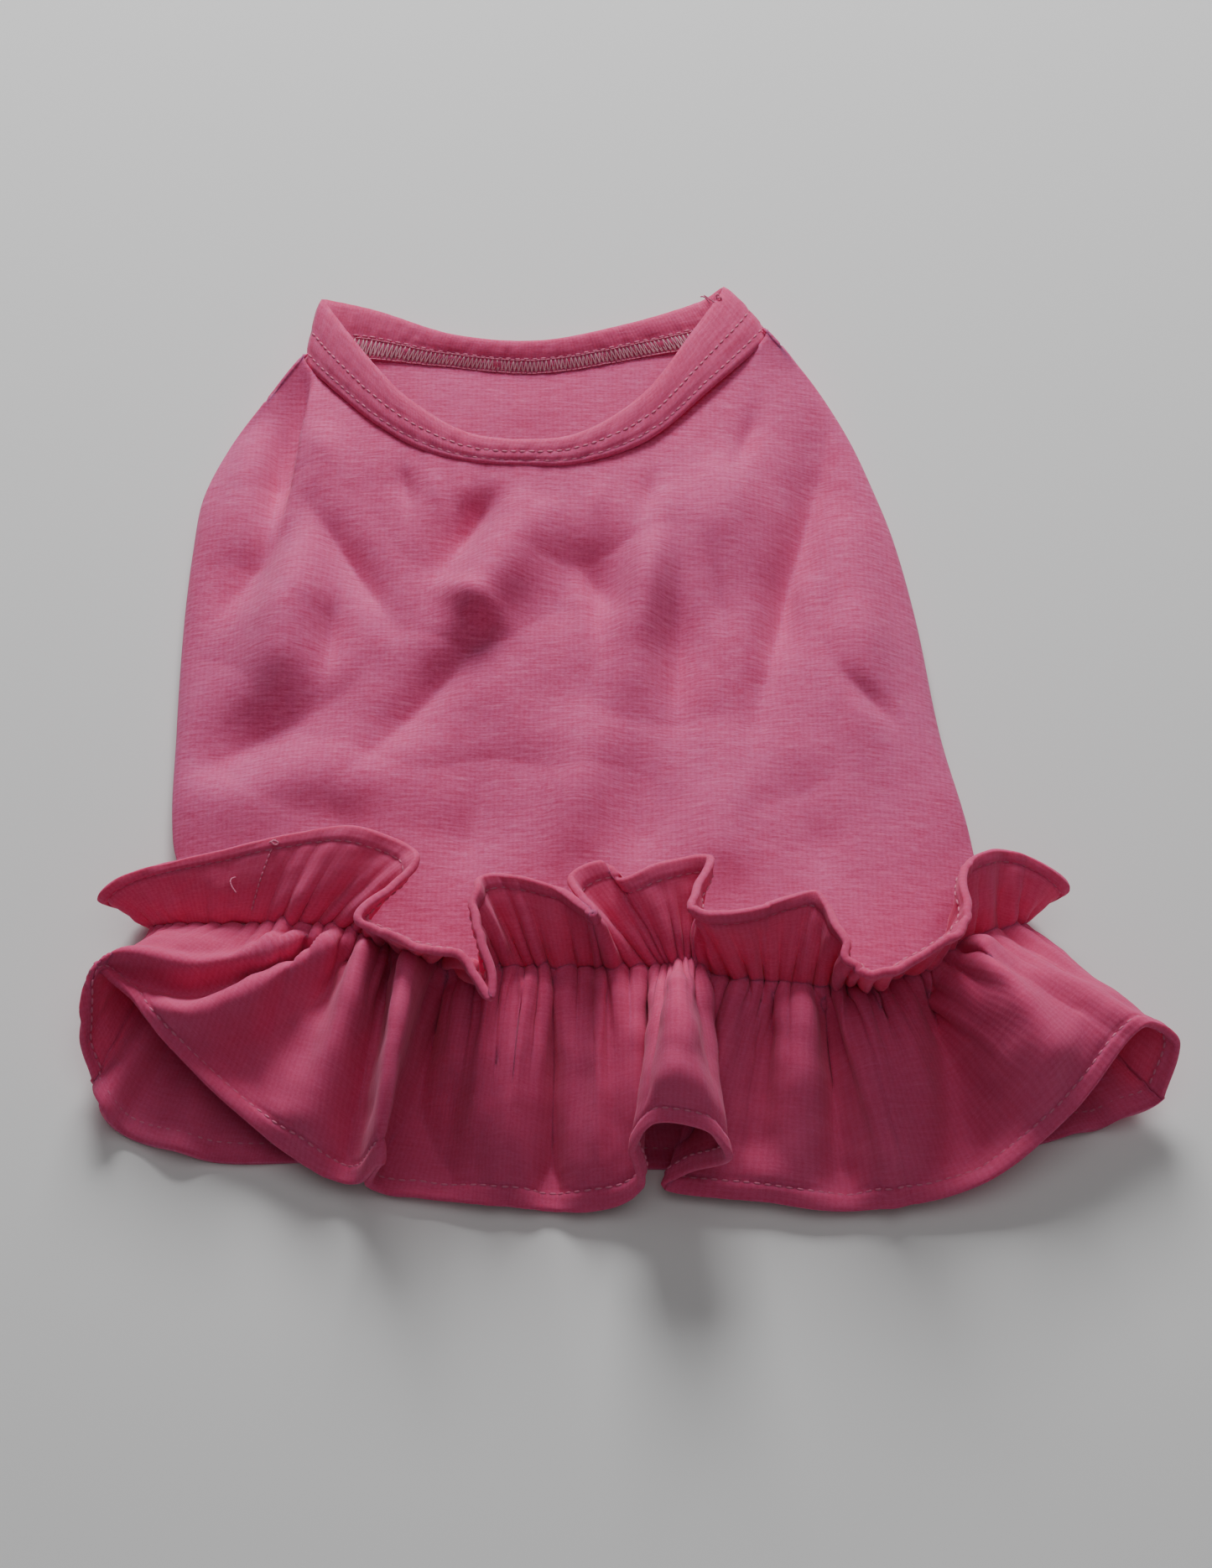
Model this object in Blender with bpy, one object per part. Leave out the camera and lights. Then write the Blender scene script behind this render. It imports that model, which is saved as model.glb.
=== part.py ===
# A small dog's dress of knitted jersey, lying flat with the side for the dog's back facing up.
# Metres, +Z up. The neck points to +Y and the ruffle's hem to -Y. While it is modelled, X = 0 is the middle of the
# gathered waist and Y = 0 its two ends; at the end the dress is centred over the origin, standing on Z = 0.

import math
from collections import namedtuple

import bmesh
import bpy
from mathutils import Vector

# Cloth and clearances
CLOTH = 0.0012
GAP = 0.0003

# The body
WAIST_WIDTH = 0.214
WAIST_BOW = 0.020
WAIST_RISE = 0.0178
BODY_LENGTH = 0.170
BODY_RISE = 0.0165
SIDE_FOLD = 0.0025
WRINKLE = 0.0058

# The neckline
NECK_WIDTH = 0.126
NECK_SCOOP = 0.042
NECK_RISE = 0.020
BAND_THICKNESS = 0.0020

# The leg openings, in the layer that lies underneath
LEG_OPENING_WIDTH = 0.030
LEG_OPENING_LENGTH = 0.042
LEG_BINDING_WIDTH = 0.008
LEG_BINDING_THICKNESS = 0.0018
LEG_SPACING = 0.084
LEG_SETBACK = 0.060

# The ruffle, one gathered strip with a header above its stitching and a skirt below it
HEADER_DEPTH = 0.032
SKIRT_DEPTH = 0.068
RUFFLE_RISE = 0.045
SKIRT_SPREAD = 0.267
UNDER_HEADER_SHARE = 0.5
GATHER_COUNT = 26
GATHER_HEIGHT = 0.0020

# How finely each cloth is divided
BODY_COLUMNS = 28
BODY_ROWS = 22
BELLY_COLUMNS = 20
BELLY_ROWS = 16
BAND_COLUMNS = 64
LEG_SEGMENTS = 20
RUFFLE_COLUMNS = 120
HEADER_ROWS = 4
SKIRT_ROWS = 6
UNDER_COLUMNS = 44
UNDER_HEADER_ROWS = 2
UNDER_SKIRT_ROWS = 3

# Outline of the body. Key and y: shares of BODY_LENGTH from the waist; left and right: shares of half the waist;
# lift: share of NECK_RISE by which the side fold is off the surface.
Side = namedtuple("Side", "key left right lift")
SIDES = [
    Side(0.00, -0.90, 0.90, 0.22),
    Side(0.07, -0.93, 0.92, 0.18),
    Side(0.15, -0.97, 0.91, 0.08),
    Side(0.33, -0.98, 0.85, 0.00),
    Side(0.52, -0.98, 0.81, 0.00),
    Side(0.66, -0.97, 0.77, 0.00),
    Side(0.75, -0.955, 0.73, 0.02),
    Side(0.84, -0.90, 0.68, 0.08),
    Side(0.92, -0.82, 0.61, 0.24),
    Side(1.00, -0.72, 0.51, 0.48),
]

# The neck loop, from the left corner along the front to the right corner and back behind. Seam and free edge: x as
# shares of half the neck from its middle, y as shares of NECK_SCOOP from the corners' line, z of NECK_RISE.
Neck = namedtuple("Neck", "key seam_x seam_y seam_z free_x free_y free_z")
NECK_LOOP = [
    Neck(0.000, -0.99, -0.10, 0.50, -0.93, 0.36, 0.68),
    Neck(0.060, -0.86, -0.35, 0.70, -0.80, 0.01, 0.94),
    Neck(0.120, -0.67, -0.65, 0.86, -0.66, -0.32, 1.14),
    Neck(0.180, -0.48, -0.86, 0.95, -0.52, -0.58, 1.24),
    Neck(0.240, -0.27, -0.97, 0.99, -0.27, -0.84, 1.31),
    Neck(0.300, -0.02, -1.00, 1.00, 0.04, -0.89, 1.32),
    Neck(0.350, 0.20, -0.98, 0.98, 0.25, -0.80, 1.28),
    Neck(0.400, 0.49, -0.78, 0.90, 0.48, -0.50, 1.14),
    Neck(0.450, 0.76, -0.36, 0.76, 0.66, -0.02, 0.92),
    Neck(0.500, 1.01, 0.08, 0.60, 0.82, 0.42, 0.74),
    Neck(0.560, 0.84, 0.11, 0.30, 0.72, 0.42, 0.42),
    Neck(0.640, 0.50, 0.08, 0.10, 0.42, 0.29, 0.32),
    Neck(0.740, 0.02, -0.04, 0.06, 0.02, 0.16, 0.30),
    Neck(0.840, -0.42, 0.01, 0.08, -0.36, 0.20, 0.32),
    Neck(0.930, -0.76, 0.01, 0.24, -0.70, 0.34, 0.46),
    Neck(1.000, -0.99, -0.10, 0.50, -0.93, 0.36, 0.68),
]
NECK_MIDDLE_X = -0.0140
FRONT_END = 0.5

# Wrinkles of the upper layer, each along a line from start to end. x: shares of half the waist, y: of BODY_LENGTH,
# width: of BODY_LENGTH, height: of WRINKLE, negative for a dent.
Wrinkle = namedtuple("Wrinkle", "x_start y_start x_end y_end width height")
WRINKLES = [
    Wrinkle(-0.70, 0.94, -0.76, 0.74, 0.030, -1.20),
    Wrinkle(-0.76, 0.72, -0.92, 0.55, 0.050, -0.90),
    Wrinkle(-0.70, 0.66, -0.74, 0.45, 0.045, 0.90),
    Wrinkle(-0.66, 0.72, -0.52, 0.56, 0.030, -0.70),
    Wrinkle(-0.90, 0.36, -0.62, 0.44, 0.050, -0.80),
    Wrinkle(-0.50, 0.32, -0.24, 0.52, 0.040, -1.00),
    Wrinkle(-0.16, 0.68, -0.32, 0.46, 0.050, 1.00),
    Wrinkle(-0.24, 0.74, -0.34, 0.64, 0.030, -0.80),
    Wrinkle(-0.04, 0.66, 0.06, 0.56, 0.055, -0.60),
    Wrinkle(0.16, 0.68, 0.12, 0.48, 0.040, 0.90),
    Wrinkle(0.22, 0.56, 0.22, 0.40, 0.035, -0.90),
    Wrinkle(0.60, 0.84, 0.42, 0.42, 0.045, -1.20),
    Wrinkle(0.66, 0.60, 0.62, 0.34, 0.060, 0.90),
    Wrinkle(0.00, 0.34, -0.04, 0.16, 0.050, 0.60),
]

# The stitched gather line over the top. Key: share of the line; x: share of half the waist; y: of WAIST_BOW, towards
# the hem; z: of WAIST_RISE.
Waist = namedtuple("Waist", "key x y z")
WAIST_LINE = [
    Waist(0.00, -0.975, 0.00, 0.25),
    Waist(0.03, -1.00, 0.02, 0.55),
    Waist(0.10, -0.86, 0.08, 0.76),
    Waist(0.22, -0.56, 0.20, 0.98),
    Waist(0.31, -0.36, 0.58, 1.02),
    Waist(0.42, -0.14, 0.74, 1.06),
    Waist(0.58, 0.18, 0.76, 1.08),
    Waist(0.76, 0.52, 0.98, 1.06),
    Waist(0.86, 0.73, 0.80, 0.98),
    Waist(0.93, 0.88, 0.36, 0.84),
    Waist(0.97, 1.00, 0.02, 0.55),
    Waist(1.00, 0.975, 0.00, 0.25),
]

# The header's upper edge, one row for each turn or shoulder of its waves. x: share of half the waist; y: of
# HEADER_DEPTH, towards the neck; z: of RUFFLE_RISE; arch: how far the cloth bows up between stitching and edge.
Edge = namedtuple("Edge", "key x y z arch")
HEADER_EDGE = [
    Edge(0.000, -1.07, 0.22, 0.11, 0.00),
    Edge(0.020, -1.13, 0.19, 0.32, 0.02),
    Edge(0.050, -1.06, 0.31, 0.45, 0.05),
    Edge(0.100, -0.86, 0.41, 0.58, 0.08),
    Edge(0.150, -0.63, 0.53, 0.69, 0.10),
    Edge(0.185, -0.49, 0.50, 0.75, 0.10),
    Edge(0.215, -0.37, 0.24, 0.82, 0.06),
    Edge(0.240, -0.43, -0.07, 0.91, 0.03),
    Edge(0.262, -0.50, -0.36, 0.98, 0.02),
    Edge(0.285, -0.42, -0.50, 0.93, 0.04),
    Edge(0.320, -0.28, -0.62, 0.93, 0.05),
    Edge(0.350, -0.20, -0.97, 0.93, 0.02),
    Edge(0.380, -0.23, -0.46, 0.97, 0.03),
    Edge(0.408, -0.25, -0.10, 0.92, 0.04),
    Edge(0.430, -0.21, 0.08, 0.84, 0.07),
    Edge(0.465, -0.07, 0.00, 0.83, 0.08),
    Edge(0.500, 0.02, -0.32, 0.96, 0.02),
    Edge(0.530, -0.03, 0.09, 0.80, 0.05),
    Edge(0.552, 0.04, 0.23, 0.76, 0.08),
    Edge(0.572, 0.08, 0.08, 0.78, 0.06),
    Edge(0.600, 0.17, 0.20, 0.78, 0.08),
    Edge(0.635, 0.29, 0.26, 0.78, 0.06),
    Edge(0.672, 0.24, -0.28, 1.00, 0.02),
    Edge(0.710, 0.38, -0.24, 0.91, 0.05),
    Edge(0.745, 0.53, -0.06, 0.84, 0.08),
    Edge(0.780, 0.57, -0.50, 0.98, 0.04),
    Edge(0.810, 0.62, -0.82, 1.00, 0.02),
    Edge(0.860, 0.82, -0.52, 0.98, 0.03),
    Edge(0.885, 0.86, -0.20, 0.89, 0.04),
    Edge(0.912, 0.86, 0.12, 0.78, 0.07),
    Edge(0.940, 0.92, 0.38, 0.66, 0.09),
    Edge(0.965, 1.02, 0.42, 0.54, 0.06),
    Edge(0.985, 1.13, 0.29, 0.34, 0.02),
    Edge(1.000, 1.07, 0.26, 0.11, 0.00),
]

# The skirt's hem. x: share of half SKIRT_SPREAD; y: of SKIRT_DEPTH, towards the neck; z and arch as above.
SKIRT_HEM = [
    Edge(0.000, -0.90, -0.58, 0.14, 0.00),
    Edge(0.030, -0.92, -0.45, 0.27, 0.04),
    Edge(0.080, -0.88, -0.25, 0.54, 0.10),
    Edge(0.140, -0.76, -0.49, 0.41, 0.14),
    Edge(0.190, -0.65, -0.69, 0.28, 0.16),
    Edge(0.240, -0.51, -0.89, 0.14, 0.20),
    Edge(0.280, -0.41, -0.97, 0.17, 0.30),
    Edge(0.303, -0.36, -0.94, 0.32, 0.34),
    Edge(0.322, -0.39, -0.97, 0.11, 0.24),
    Edge(0.370, -0.26, -1.01, 0.09, 0.16),
    Edge(0.440, -0.10, -1.04, 0.08, 0.20),
    Edge(0.490, 0.03, -1.05, 0.09, 0.20),
    Edge(0.520, 0.10, -1.01, 0.22, 0.24),
    Edge(0.553, 0.09, -0.92, 0.54, 0.32),
    Edge(0.580, 0.13, -0.86, 0.70, 0.34),
    Edge(0.612, 0.22, -0.89, 0.69, 0.32),
    Edge(0.636, 0.26, -0.95, 0.50, 0.24),
    Edge(0.662, 0.19, -0.94, 0.22, 0.16),
    Edge(0.685, 0.15, -0.98, 0.11, 0.10),
    Edge(0.730, 0.33, -1.02, 0.09, 0.20),
    Edge(0.775, 0.50, -1.05, 0.08, 0.18),
    Edge(0.835, 0.72, -0.97, 0.17, 0.20),
    Edge(0.885, 0.88, -0.75, 0.36, 0.18),
    Edge(0.940, 1.01, -0.47, 0.54, 0.12),
    Edge(0.970, 1.08, -0.50, 0.40, 0.06),
    Edge(1.000, 1.06, -0.65, 0.14, 0.00),
]

# The hem of the length that lies underneath, from the left to the right. Columns as above.
UNDER_HEM = [
    Edge(0.00, -0.90, -0.60, 0.09, 0.00),
    Edge(0.05, -0.86, -0.74, 0.04, 0.00),
    Edge(0.12, -0.70, -0.85, 0.02, 0.00),
    Edge(0.25, -0.50, -0.86, 0.02, 0.00),
    Edge(0.50, 0.03, -0.88, 0.02, 0.00),
    Edge(0.75, 0.58, -0.88, 0.02, 0.00),
    Edge(0.90, 0.88, -0.77, 0.03, 0.00),
    Edge(1.00, 1.06, -0.67, 0.09, 0.00),
]

# Ridges and valleys along the skirt. start and end: shares of the strip at the stitching and at the hem; near and
# far: shares of the skirt's depth; width: share of the strip; height: share of RUFFLE_RISE.
Flute = namedtuple("Flute", "start end near far width height")
FLUTES = [
    Flute(0.17, 0.08, 0.05, 0.95, 0.030, 0.10),
    Flute(0.23, 0.17, 0.05, 0.70, 0.022, 0.10),
    Flute(0.27, 0.24, 0.05, 0.80, 0.020, -0.12),
    Flute(0.31, 0.30, 0.05, 0.90, 0.016, 0.14),
    Flute(0.36, 0.37, 0.45, 0.95, 0.026, -0.10),
    Flute(0.47, 0.45, 0.05, 0.80, 0.020, -0.10),
    Flute(0.53, 0.54, 0.05, 0.80, 0.018, -0.10),
    Flute(0.60, 0.59, 0.05, 0.80, 0.022, 0.16),
    Flute(0.65, 0.66, 0.05, 0.75, 0.018, -0.14),
    Flute(0.76, 0.78, 0.10, 0.70, 0.022, -0.10),
    Flute(0.82, 0.83, 0.10, 0.75, 0.024, 0.10),
    Flute(0.90, 0.90, 0.15, 0.80, 0.022, -0.08),
]

# Rounding of the body across its width, and of the underlying layer where it lifts off the surface
BODY_ROUNDNESS = 3.2
EDGE_CROWDING = 0.45
BELLY_LIFT_REACH = 0.20
UNDER_LIFT_REACH = 0.16
NECK_LIFT_START = 0.86
STRIP_END_REACH = 0.045

COLOURS = {
    "top_panel": (0.80, 0.20, 0.33),
    "belly_panel": (0.82, 0.24, 0.37),
    "neckband": (0.76, 0.16, 0.29),
    "leg_binding": (0.74, 0.15, 0.28),
    "ruffle_upper": (0.72, 0.13, 0.25),
    "ruffle_under": (0.66, 0.10, 0.21),
}
CLOTH_ROUGHNESS = 0.9


def clear_scene():
    for item in list(bpy.data.objects):
        bpy.data.objects.remove(item, do_unlink=True)


def row_slope(table, index, column):
    low = table[max(index - 1, 0)]
    high = table[min(index + 1, len(table) - 1)]
    return (getattr(high, column) - getattr(low, column)) / (high.key - low.key)


def read(table, key, column):
    """A column's value at a key, on a smooth curve through the table's rows."""
    index = 0
    while index < len(table) - 2 and key > table[index + 1].key:
        index += 1
    start = table[index]
    end = table[index + 1]
    span = end.key - start.key
    t = min(max((key - start.key) / span, 0.0), 1.0)
    first = getattr(start, column)
    last = getattr(end, column)
    leaving = row_slope(table, index, column) * span
    arriving = row_slope(table, index + 1, column) * span
    rest = 1.0 - t
    return (
        first * rest * rest * (1.0 + 2.0 * t)
        + leaving * t * rest * rest
        - arriving * t * t * rest
        + last * t * t * (3.0 - 2.0 * t)
    )


def mix(start, end, share):
    return start * (1.0 - share) + end * share


def ease(share):
    held = min(max(share, 0.0), 1.0)
    return held * held * (3.0 - 2.0 * held)


def side_point(key, which):
    """A point on the left or right outline of the body, at the height of the underlying layer."""
    x = read(SIDES, key, which) * WAIST_WIDTH / 2
    lift = max(read(SIDES, key, "lift"), 0.0) * NECK_RISE
    return Vector((x, key * BODY_LENGTH, CLOTH / 2 + lift))


def neck_point(key, edge):
    """A point on the neckband's seam or free edge."""
    x = NECK_MIDDLE_X + read(NECK_LOOP, key, edge + "_x") * NECK_WIDTH / 2
    y = BODY_LENGTH + read(NECK_LOOP, key, edge + "_y") * NECK_SCOOP
    z = read(NECK_LOOP, key, edge + "_z") * NECK_RISE
    return Vector((x, y, z))


def panel_neck_edge(key):
    """Where a panel ends, clear of the neckband's seam edge."""
    seam = neck_point(key, "seam")
    outward = (seam - neck_point(key, "free")).normalized()
    place = seam + outward * (GAP + BAND_THICKNESS / 2 + CLOTH / 4)
    place.z = max(place.z, CLOTH / 2)
    return place


def to_corner(side, corner):
    """A side outline whose upper end is carried to a corner of the neckline."""
    shift = corner - side(1.0)
    return lambda share: side(share) + shift * share**4


def coons(bottom, top, left, right, u, v):
    """A patch between four edges."""
    across = mix(left(v), right(v), u)
    along = mix(bottom(u), top(u), v)
    corners = mix(mix(bottom(0.0), bottom(1.0), u), mix(top(0.0), top(1.0), u), v)
    return across + along - corners


def crowd(u):
    """Moves a share towards the nearer side, where the cloth turns."""
    return mix(u, 0.5 - 0.5 * math.cos(math.pi * u), EDGE_CROWDING)


def waist_height(u):
    """The height of the upper layer at the gather line, below the strip that is sewn on it."""
    return read(WAIST_LINE, u, "z") * WAIST_RISE - CLOTH - GAP


def waist_y(u):
    return -read(WAIST_LINE, u, "y") * WAIST_BOW


def wrinkle_height(x, y):
    total = 0.0
    for fold in WRINKLES:
        start = Vector((fold.x_start * WAIST_WIDTH / 2, fold.y_start * BODY_LENGTH))
        end = Vector((fold.x_end * WAIST_WIDTH / 2, fold.y_end * BODY_LENGTH))
        line = end - start
        reach = fold.width * BODY_LENGTH
        offset = Vector((x, y)) - start
        share = offset.dot(line) / line.length_squared
        aside = (offset - line * share).length
        beyond = max(-share, share - 1.0, 0.0) * line.length
        total += fold.height * WRINKLE * math.exp(-(aside**2 + beyond**2) / reach**2)
    return total


def left_side(share):
    return side_point(share, "left")


def right_side(share):
    return side_point(share, "right")


def front_neck_edge(share):
    return panel_neck_edge(share * FRONT_END)


def back_neck_edge(share):
    return panel_neck_edge(1.0 - share * (1.0 - FRONT_END))


def belly_height(u, v):
    """The underlying layer: flat, raised over the strip at the waist, at its sides and at the neck's corners."""
    left = to_corner(left_side, back_neck_edge(0.0))
    right = to_corner(right_side, back_neck_edge(1.0))
    near_side = 1.0 - ease(min(u, 1.0 - u) / BELLY_LIFT_REACH)
    side_lift = (mix(left(v).z, right(v).z, u) - CLOTH / 2) * near_side
    over_strip = (CLOTH + 2 * GAP) * (1.0 - ease((v - UNDER_LIFT_REACH) / UNDER_LIFT_REACH))
    at_neck = (back_neck_edge(u).z - CLOTH / 2) * ease((v - NECK_LIFT_START) / (1.0 - NECK_LIFT_START))
    return CLOTH / 2 + max(side_lift, over_strip, at_neck)


def belly_panel_point(u, v):
    """The underlying layer between the waist, the two sides and the back of the neckline."""

    def bottom(share):
        return Vector((mix(left_side(0.0).x, right_side(0.0).x, share), CLOTH, 0.0))

    left = to_corner(left_side, back_neck_edge(0.0))
    right = to_corner(right_side, back_neck_edge(1.0))
    place = coons(bottom, back_neck_edge, left, right, u, v)
    place.z = belly_height(u, v)
    return place


def top_panel_point(u, v):
    """The upper layer: a low dome from side fold to side fold, ending in the scooped neckline."""

    def bottom(share):
        x = mix(left_side(0.0).x, right_side(0.0).x, share)
        return Vector((x, waist_y(share) - CLOTH, 0.0))

    across = crowd(u)
    left = to_corner(left_side, front_neck_edge(0.0))
    right = to_corner(right_side, front_neck_edge(1.0))
    place = coons(bottom, front_neck_edge, left, right, across, v)
    turn = max(1.0 - abs(2.0 * across - 1.0) ** BODY_ROUNDNESS, 0.0) ** 0.5
    middle = mix(waist_height(across), BODY_RISE, ease(v * 4.0))
    crest = mix(middle, front_neck_edge(across).z, ease(v * 2.5 - 1.5))
    low = belly_height(across, v) + 1.5 * CLOTH + GAP
    height = mix(low, max(crest, low), turn)
    height += wrinkle_height(place.x, place.y) * ease(turn * 1.6 - 0.4) * ease(v * 6.0 - 0.6)
    fold_out = SIDE_FOLD * 4.0 * turn * (1.0 - turn)
    place.x += math.copysign(fold_out, across - 0.5)
    place.z = height
    return place


def neckband_point(u, v):
    """The band, a flat ribbon between its seam edge and its free edge."""
    return mix(neck_point(u, "seam"), neck_point(u, "free"), v)


def leg_centre(side):
    return Vector((NECK_MIDDLE_X / 2 + side * LEG_SPACING / 2, BODY_LENGTH - LEG_SETBACK, 0.0))


def gather(g, depth):
    """The fine gathers, highest at the stitching and gone a third of the way out."""
    wave = 0.5 - 0.5 * math.cos(2.0 * math.pi * GATHER_COUNT * g)
    return GATHER_HEIGHT * wave * max(1.0 - depth * 2.6, 0.0)


def waist_point(g):
    x = read(WAIST_LINE, g, "x") * WAIST_WIDTH / 2
    return Vector((x, waist_y(g), read(WAIST_LINE, g, "z") * WAIST_RISE))


def bow(start, end, rise, t):
    """A curve from start to end that leaves upwards and arches by a rise."""
    lift = Vector((0.0, 0.0, rise))
    first = mix(start, end, 0.22) + lift
    second = mix(start, end, 0.70) + lift * 0.8
    rest = 1.0 - t
    return start * rest**3 + first * 3.0 * t * rest**2 + second * 3.0 * t * t * rest + end * t**3


def header_point(g, t):
    edge = Vector((
        read(HEADER_EDGE, g, "x") * WAIST_WIDTH / 2,
        read(HEADER_EDGE, g, "y") * HEADER_DEPTH,
        read(HEADER_EDGE, g, "z") * RUFFLE_RISE,
    ))
    return bow(waist_point(g), edge, read(HEADER_EDGE, g, "arch") * RUFFLE_RISE, t)


def skirt_point(g, t):
    edge = Vector((
        read(SKIRT_HEM, g, "x") * SKIRT_SPREAD / 2,
        read(SKIRT_HEM, g, "y") * SKIRT_DEPTH,
        read(SKIRT_HEM, g, "z") * RUFFLE_RISE,
    ))
    place = bow(waist_point(g), edge, read(SKIRT_HEM, g, "arch") * RUFFLE_RISE, t)
    for flute in FLUTES:
        middle = mix(flute.start, flute.end, t)
        reach = ease((t - flute.near) * 8.0) * ease((flute.far - t) * 5.0 + 0.5)
        place.z += flute.height * RUFFLE_RISE * reach * math.exp(-(((g - middle) / flute.width) ** 2))
    return place


def strip_point(g, v, header_rows, skirt_rows):
    """A point of the upper length. v runs from the header's edge through the stitching to the hem."""
    stitching = header_rows / (header_rows + skirt_rows)
    if v <= stitching:
        depth = 1.0 - v / stitching
        place = header_point(g, depth)
    else:
        depth = (v - stitching) / (1.0 - stitching)
        place = skirt_point(g, depth)
    place.z += gather(g, depth)
    return place


def ruffle_upper_point(u, v):
    place = strip_point(u, v, HEADER_ROWS, SKIRT_ROWS)
    place.z = max(place.z, 1.5 * CLOTH + 2 * GAP)
    return place


def ruffle_under_point(u, v):
    """The underlying length: plain and flat, its ends turned up to meet the upper length's."""
    stitching = UNDER_HEADER_ROWS / (UNDER_HEADER_ROWS + UNDER_SKIRT_ROWS)
    left = read(WAIST_LINE, 0.0, "x") * WAIST_WIDTH / 2
    right = read(WAIST_LINE, 1.0, "x") * WAIST_WIDTH / 2
    hem = Vector((
        read(UNDER_HEM, u, "x") * SKIRT_SPREAD / 2,
        read(UNDER_HEM, u, "y") * SKIRT_DEPTH,
        CLOTH / 2,
    ))
    waist = Vector((mix(left, right, u), 0.0, CLOTH / 2))
    header = waist + Vector((0.0, HEADER_DEPTH * UNDER_HEADER_SHARE, 0.0))
    if v <= stitching:
        flat = mix(header, waist, v / stitching)
    else:
        flat = mix(waist, hem, (v - stitching) / (1.0 - stitching))
    end = 0.0 if u < 0.5 else 1.0
    inner = STRIP_END_REACH / 4 if u < 0.5 else 1.0 - STRIP_END_REACH / 4
    last = strip_point(end, v, UNDER_HEADER_ROWS, UNDER_SKIRT_ROWS)
    before = strip_point(inner, v, UNDER_HEADER_ROWS, UNDER_SKIRT_ROWS)
    meeting = last + (last - before).normalized() * 2 * GAP
    meeting.z = max(meeting.z, CLOTH / 2)
    return mix(meeting, flat, ease(min(u, 1.0 - u) / STRIP_END_REACH))


def new_material(name, colour):
    material = bpy.data.materials.new(name)
    material.use_nodes = True
    shader = material.node_tree.nodes["Principled BSDF"]
    shader.inputs["Base Color"].default_value = (*colour, 1.0)
    shader.inputs["Roughness"].default_value = CLOTH_ROUGHNESS
    shader.inputs["Metallic"].default_value = 0.0
    return material


def cloth_sheet(name, columns, rows, point, thickness, colour, joined=False):
    """A sheet of cloth: a grid laid out by a function of its two shares, then given its wall."""
    mesh = bpy.data.meshes.new(name)
    work = bmesh.new()
    bmesh.ops.create_grid(work, x_segments=columns, y_segments=rows, size=0.5)
    for vertex in work.verts:
        vertex.co = point(vertex.co.x + 0.5, vertex.co.y + 0.5)
    if joined:
        bmesh.ops.remove_doubles(work, verts=work.verts, dist=1e-6)
    bmesh.ops.recalc_face_normals(work, faces=work.faces)
    work.to_mesh(mesh)
    work.free()
    mesh.shade_smooth()
    item = bpy.data.objects.new(name, mesh)
    bpy.context.scene.collection.objects.link(item)
    item.data.materials.append(new_material(name, colour))
    wall = item.modifiers.new("Wall", "SOLIDIFY")
    wall.thickness = thickness
    wall.offset = 0.0
    return item


def oval(place, centre, width, length):
    angle = 2.0 * math.pi * place
    return centre + Vector((math.cos(angle) * width / 2, math.sin(angle) * length / 2, 0.0))


def leg_binding(name, side):
    """The binding round a leg opening, lying flat in the hole that the panel leaves for it."""
    centre = leg_centre(side)

    def point(u, v):
        grow = 2.0 * LEG_BINDING_WIDTH * v
        place = oval(u, centre, LEG_OPENING_WIDTH + grow, LEG_OPENING_LENGTH + grow)
        place.z = LEG_BINDING_THICKNESS / 2
        return place

    return cloth_sheet(name, LEG_SEGMENTS, 1, point, LEG_BINDING_THICKNESS, COLOURS["leg_binding"], joined=True)


def cut_leg_hole(panel, name, side):
    """Cuts the hole that holds one binding, a gap wider than the binding all round."""
    wider = 2.0 * (LEG_BINDING_WIDTH + GAP)
    depth = 10.0 * CLOTH
    mesh = bpy.data.meshes.new(name)
    work = bmesh.new()
    bmesh.ops.create_cone(
        work, cap_ends=True, segments=LEG_SEGMENTS, radius1=0.5, radius2=0.5, depth=depth
    )
    for vertex in work.verts:
        vertex.co.x *= LEG_OPENING_WIDTH + wider
        vertex.co.y *= LEG_OPENING_LENGTH + wider
    work.to_mesh(mesh)
    work.free()
    cutter = bpy.data.objects.new(name, mesh)
    bpy.context.scene.collection.objects.link(cutter)
    cutter.location = leg_centre(side)
    cutter.hide_render = True
    cutter.display_type = "WIRE"
    cut = panel.modifiers.new(name, "BOOLEAN")
    cut.operation = "DIFFERENCE"
    cut.solver = "EXACT"
    cut.object = cutter
    return cutter


def centre_on_floor(items, helpers):
    """Carries everything so that the dress is centred over the origin and stands on Z = 0."""
    bpy.context.view_layer.update()
    graph = bpy.context.evaluated_depsgraph_get()
    points = []
    for item in items:
        shape = item.evaluated_get(graph)
        points += [shape.matrix_world @ vertex.co for vertex in shape.data.vertices]
    low = [min(point[axis] for point in points) for axis in range(3)]
    high = [max(point[axis] for point in points) for axis in range(3)]
    carrier = bpy.data.objects.new("dress", None)
    bpy.context.scene.collection.objects.link(carrier)
    for item in items + helpers:
        item.parent = carrier
    carrier.location = (-(low[0] + high[0]) / 2, -(low[1] + high[1]) / 2, -low[2])
    bpy.context.view_layer.update()


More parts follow.
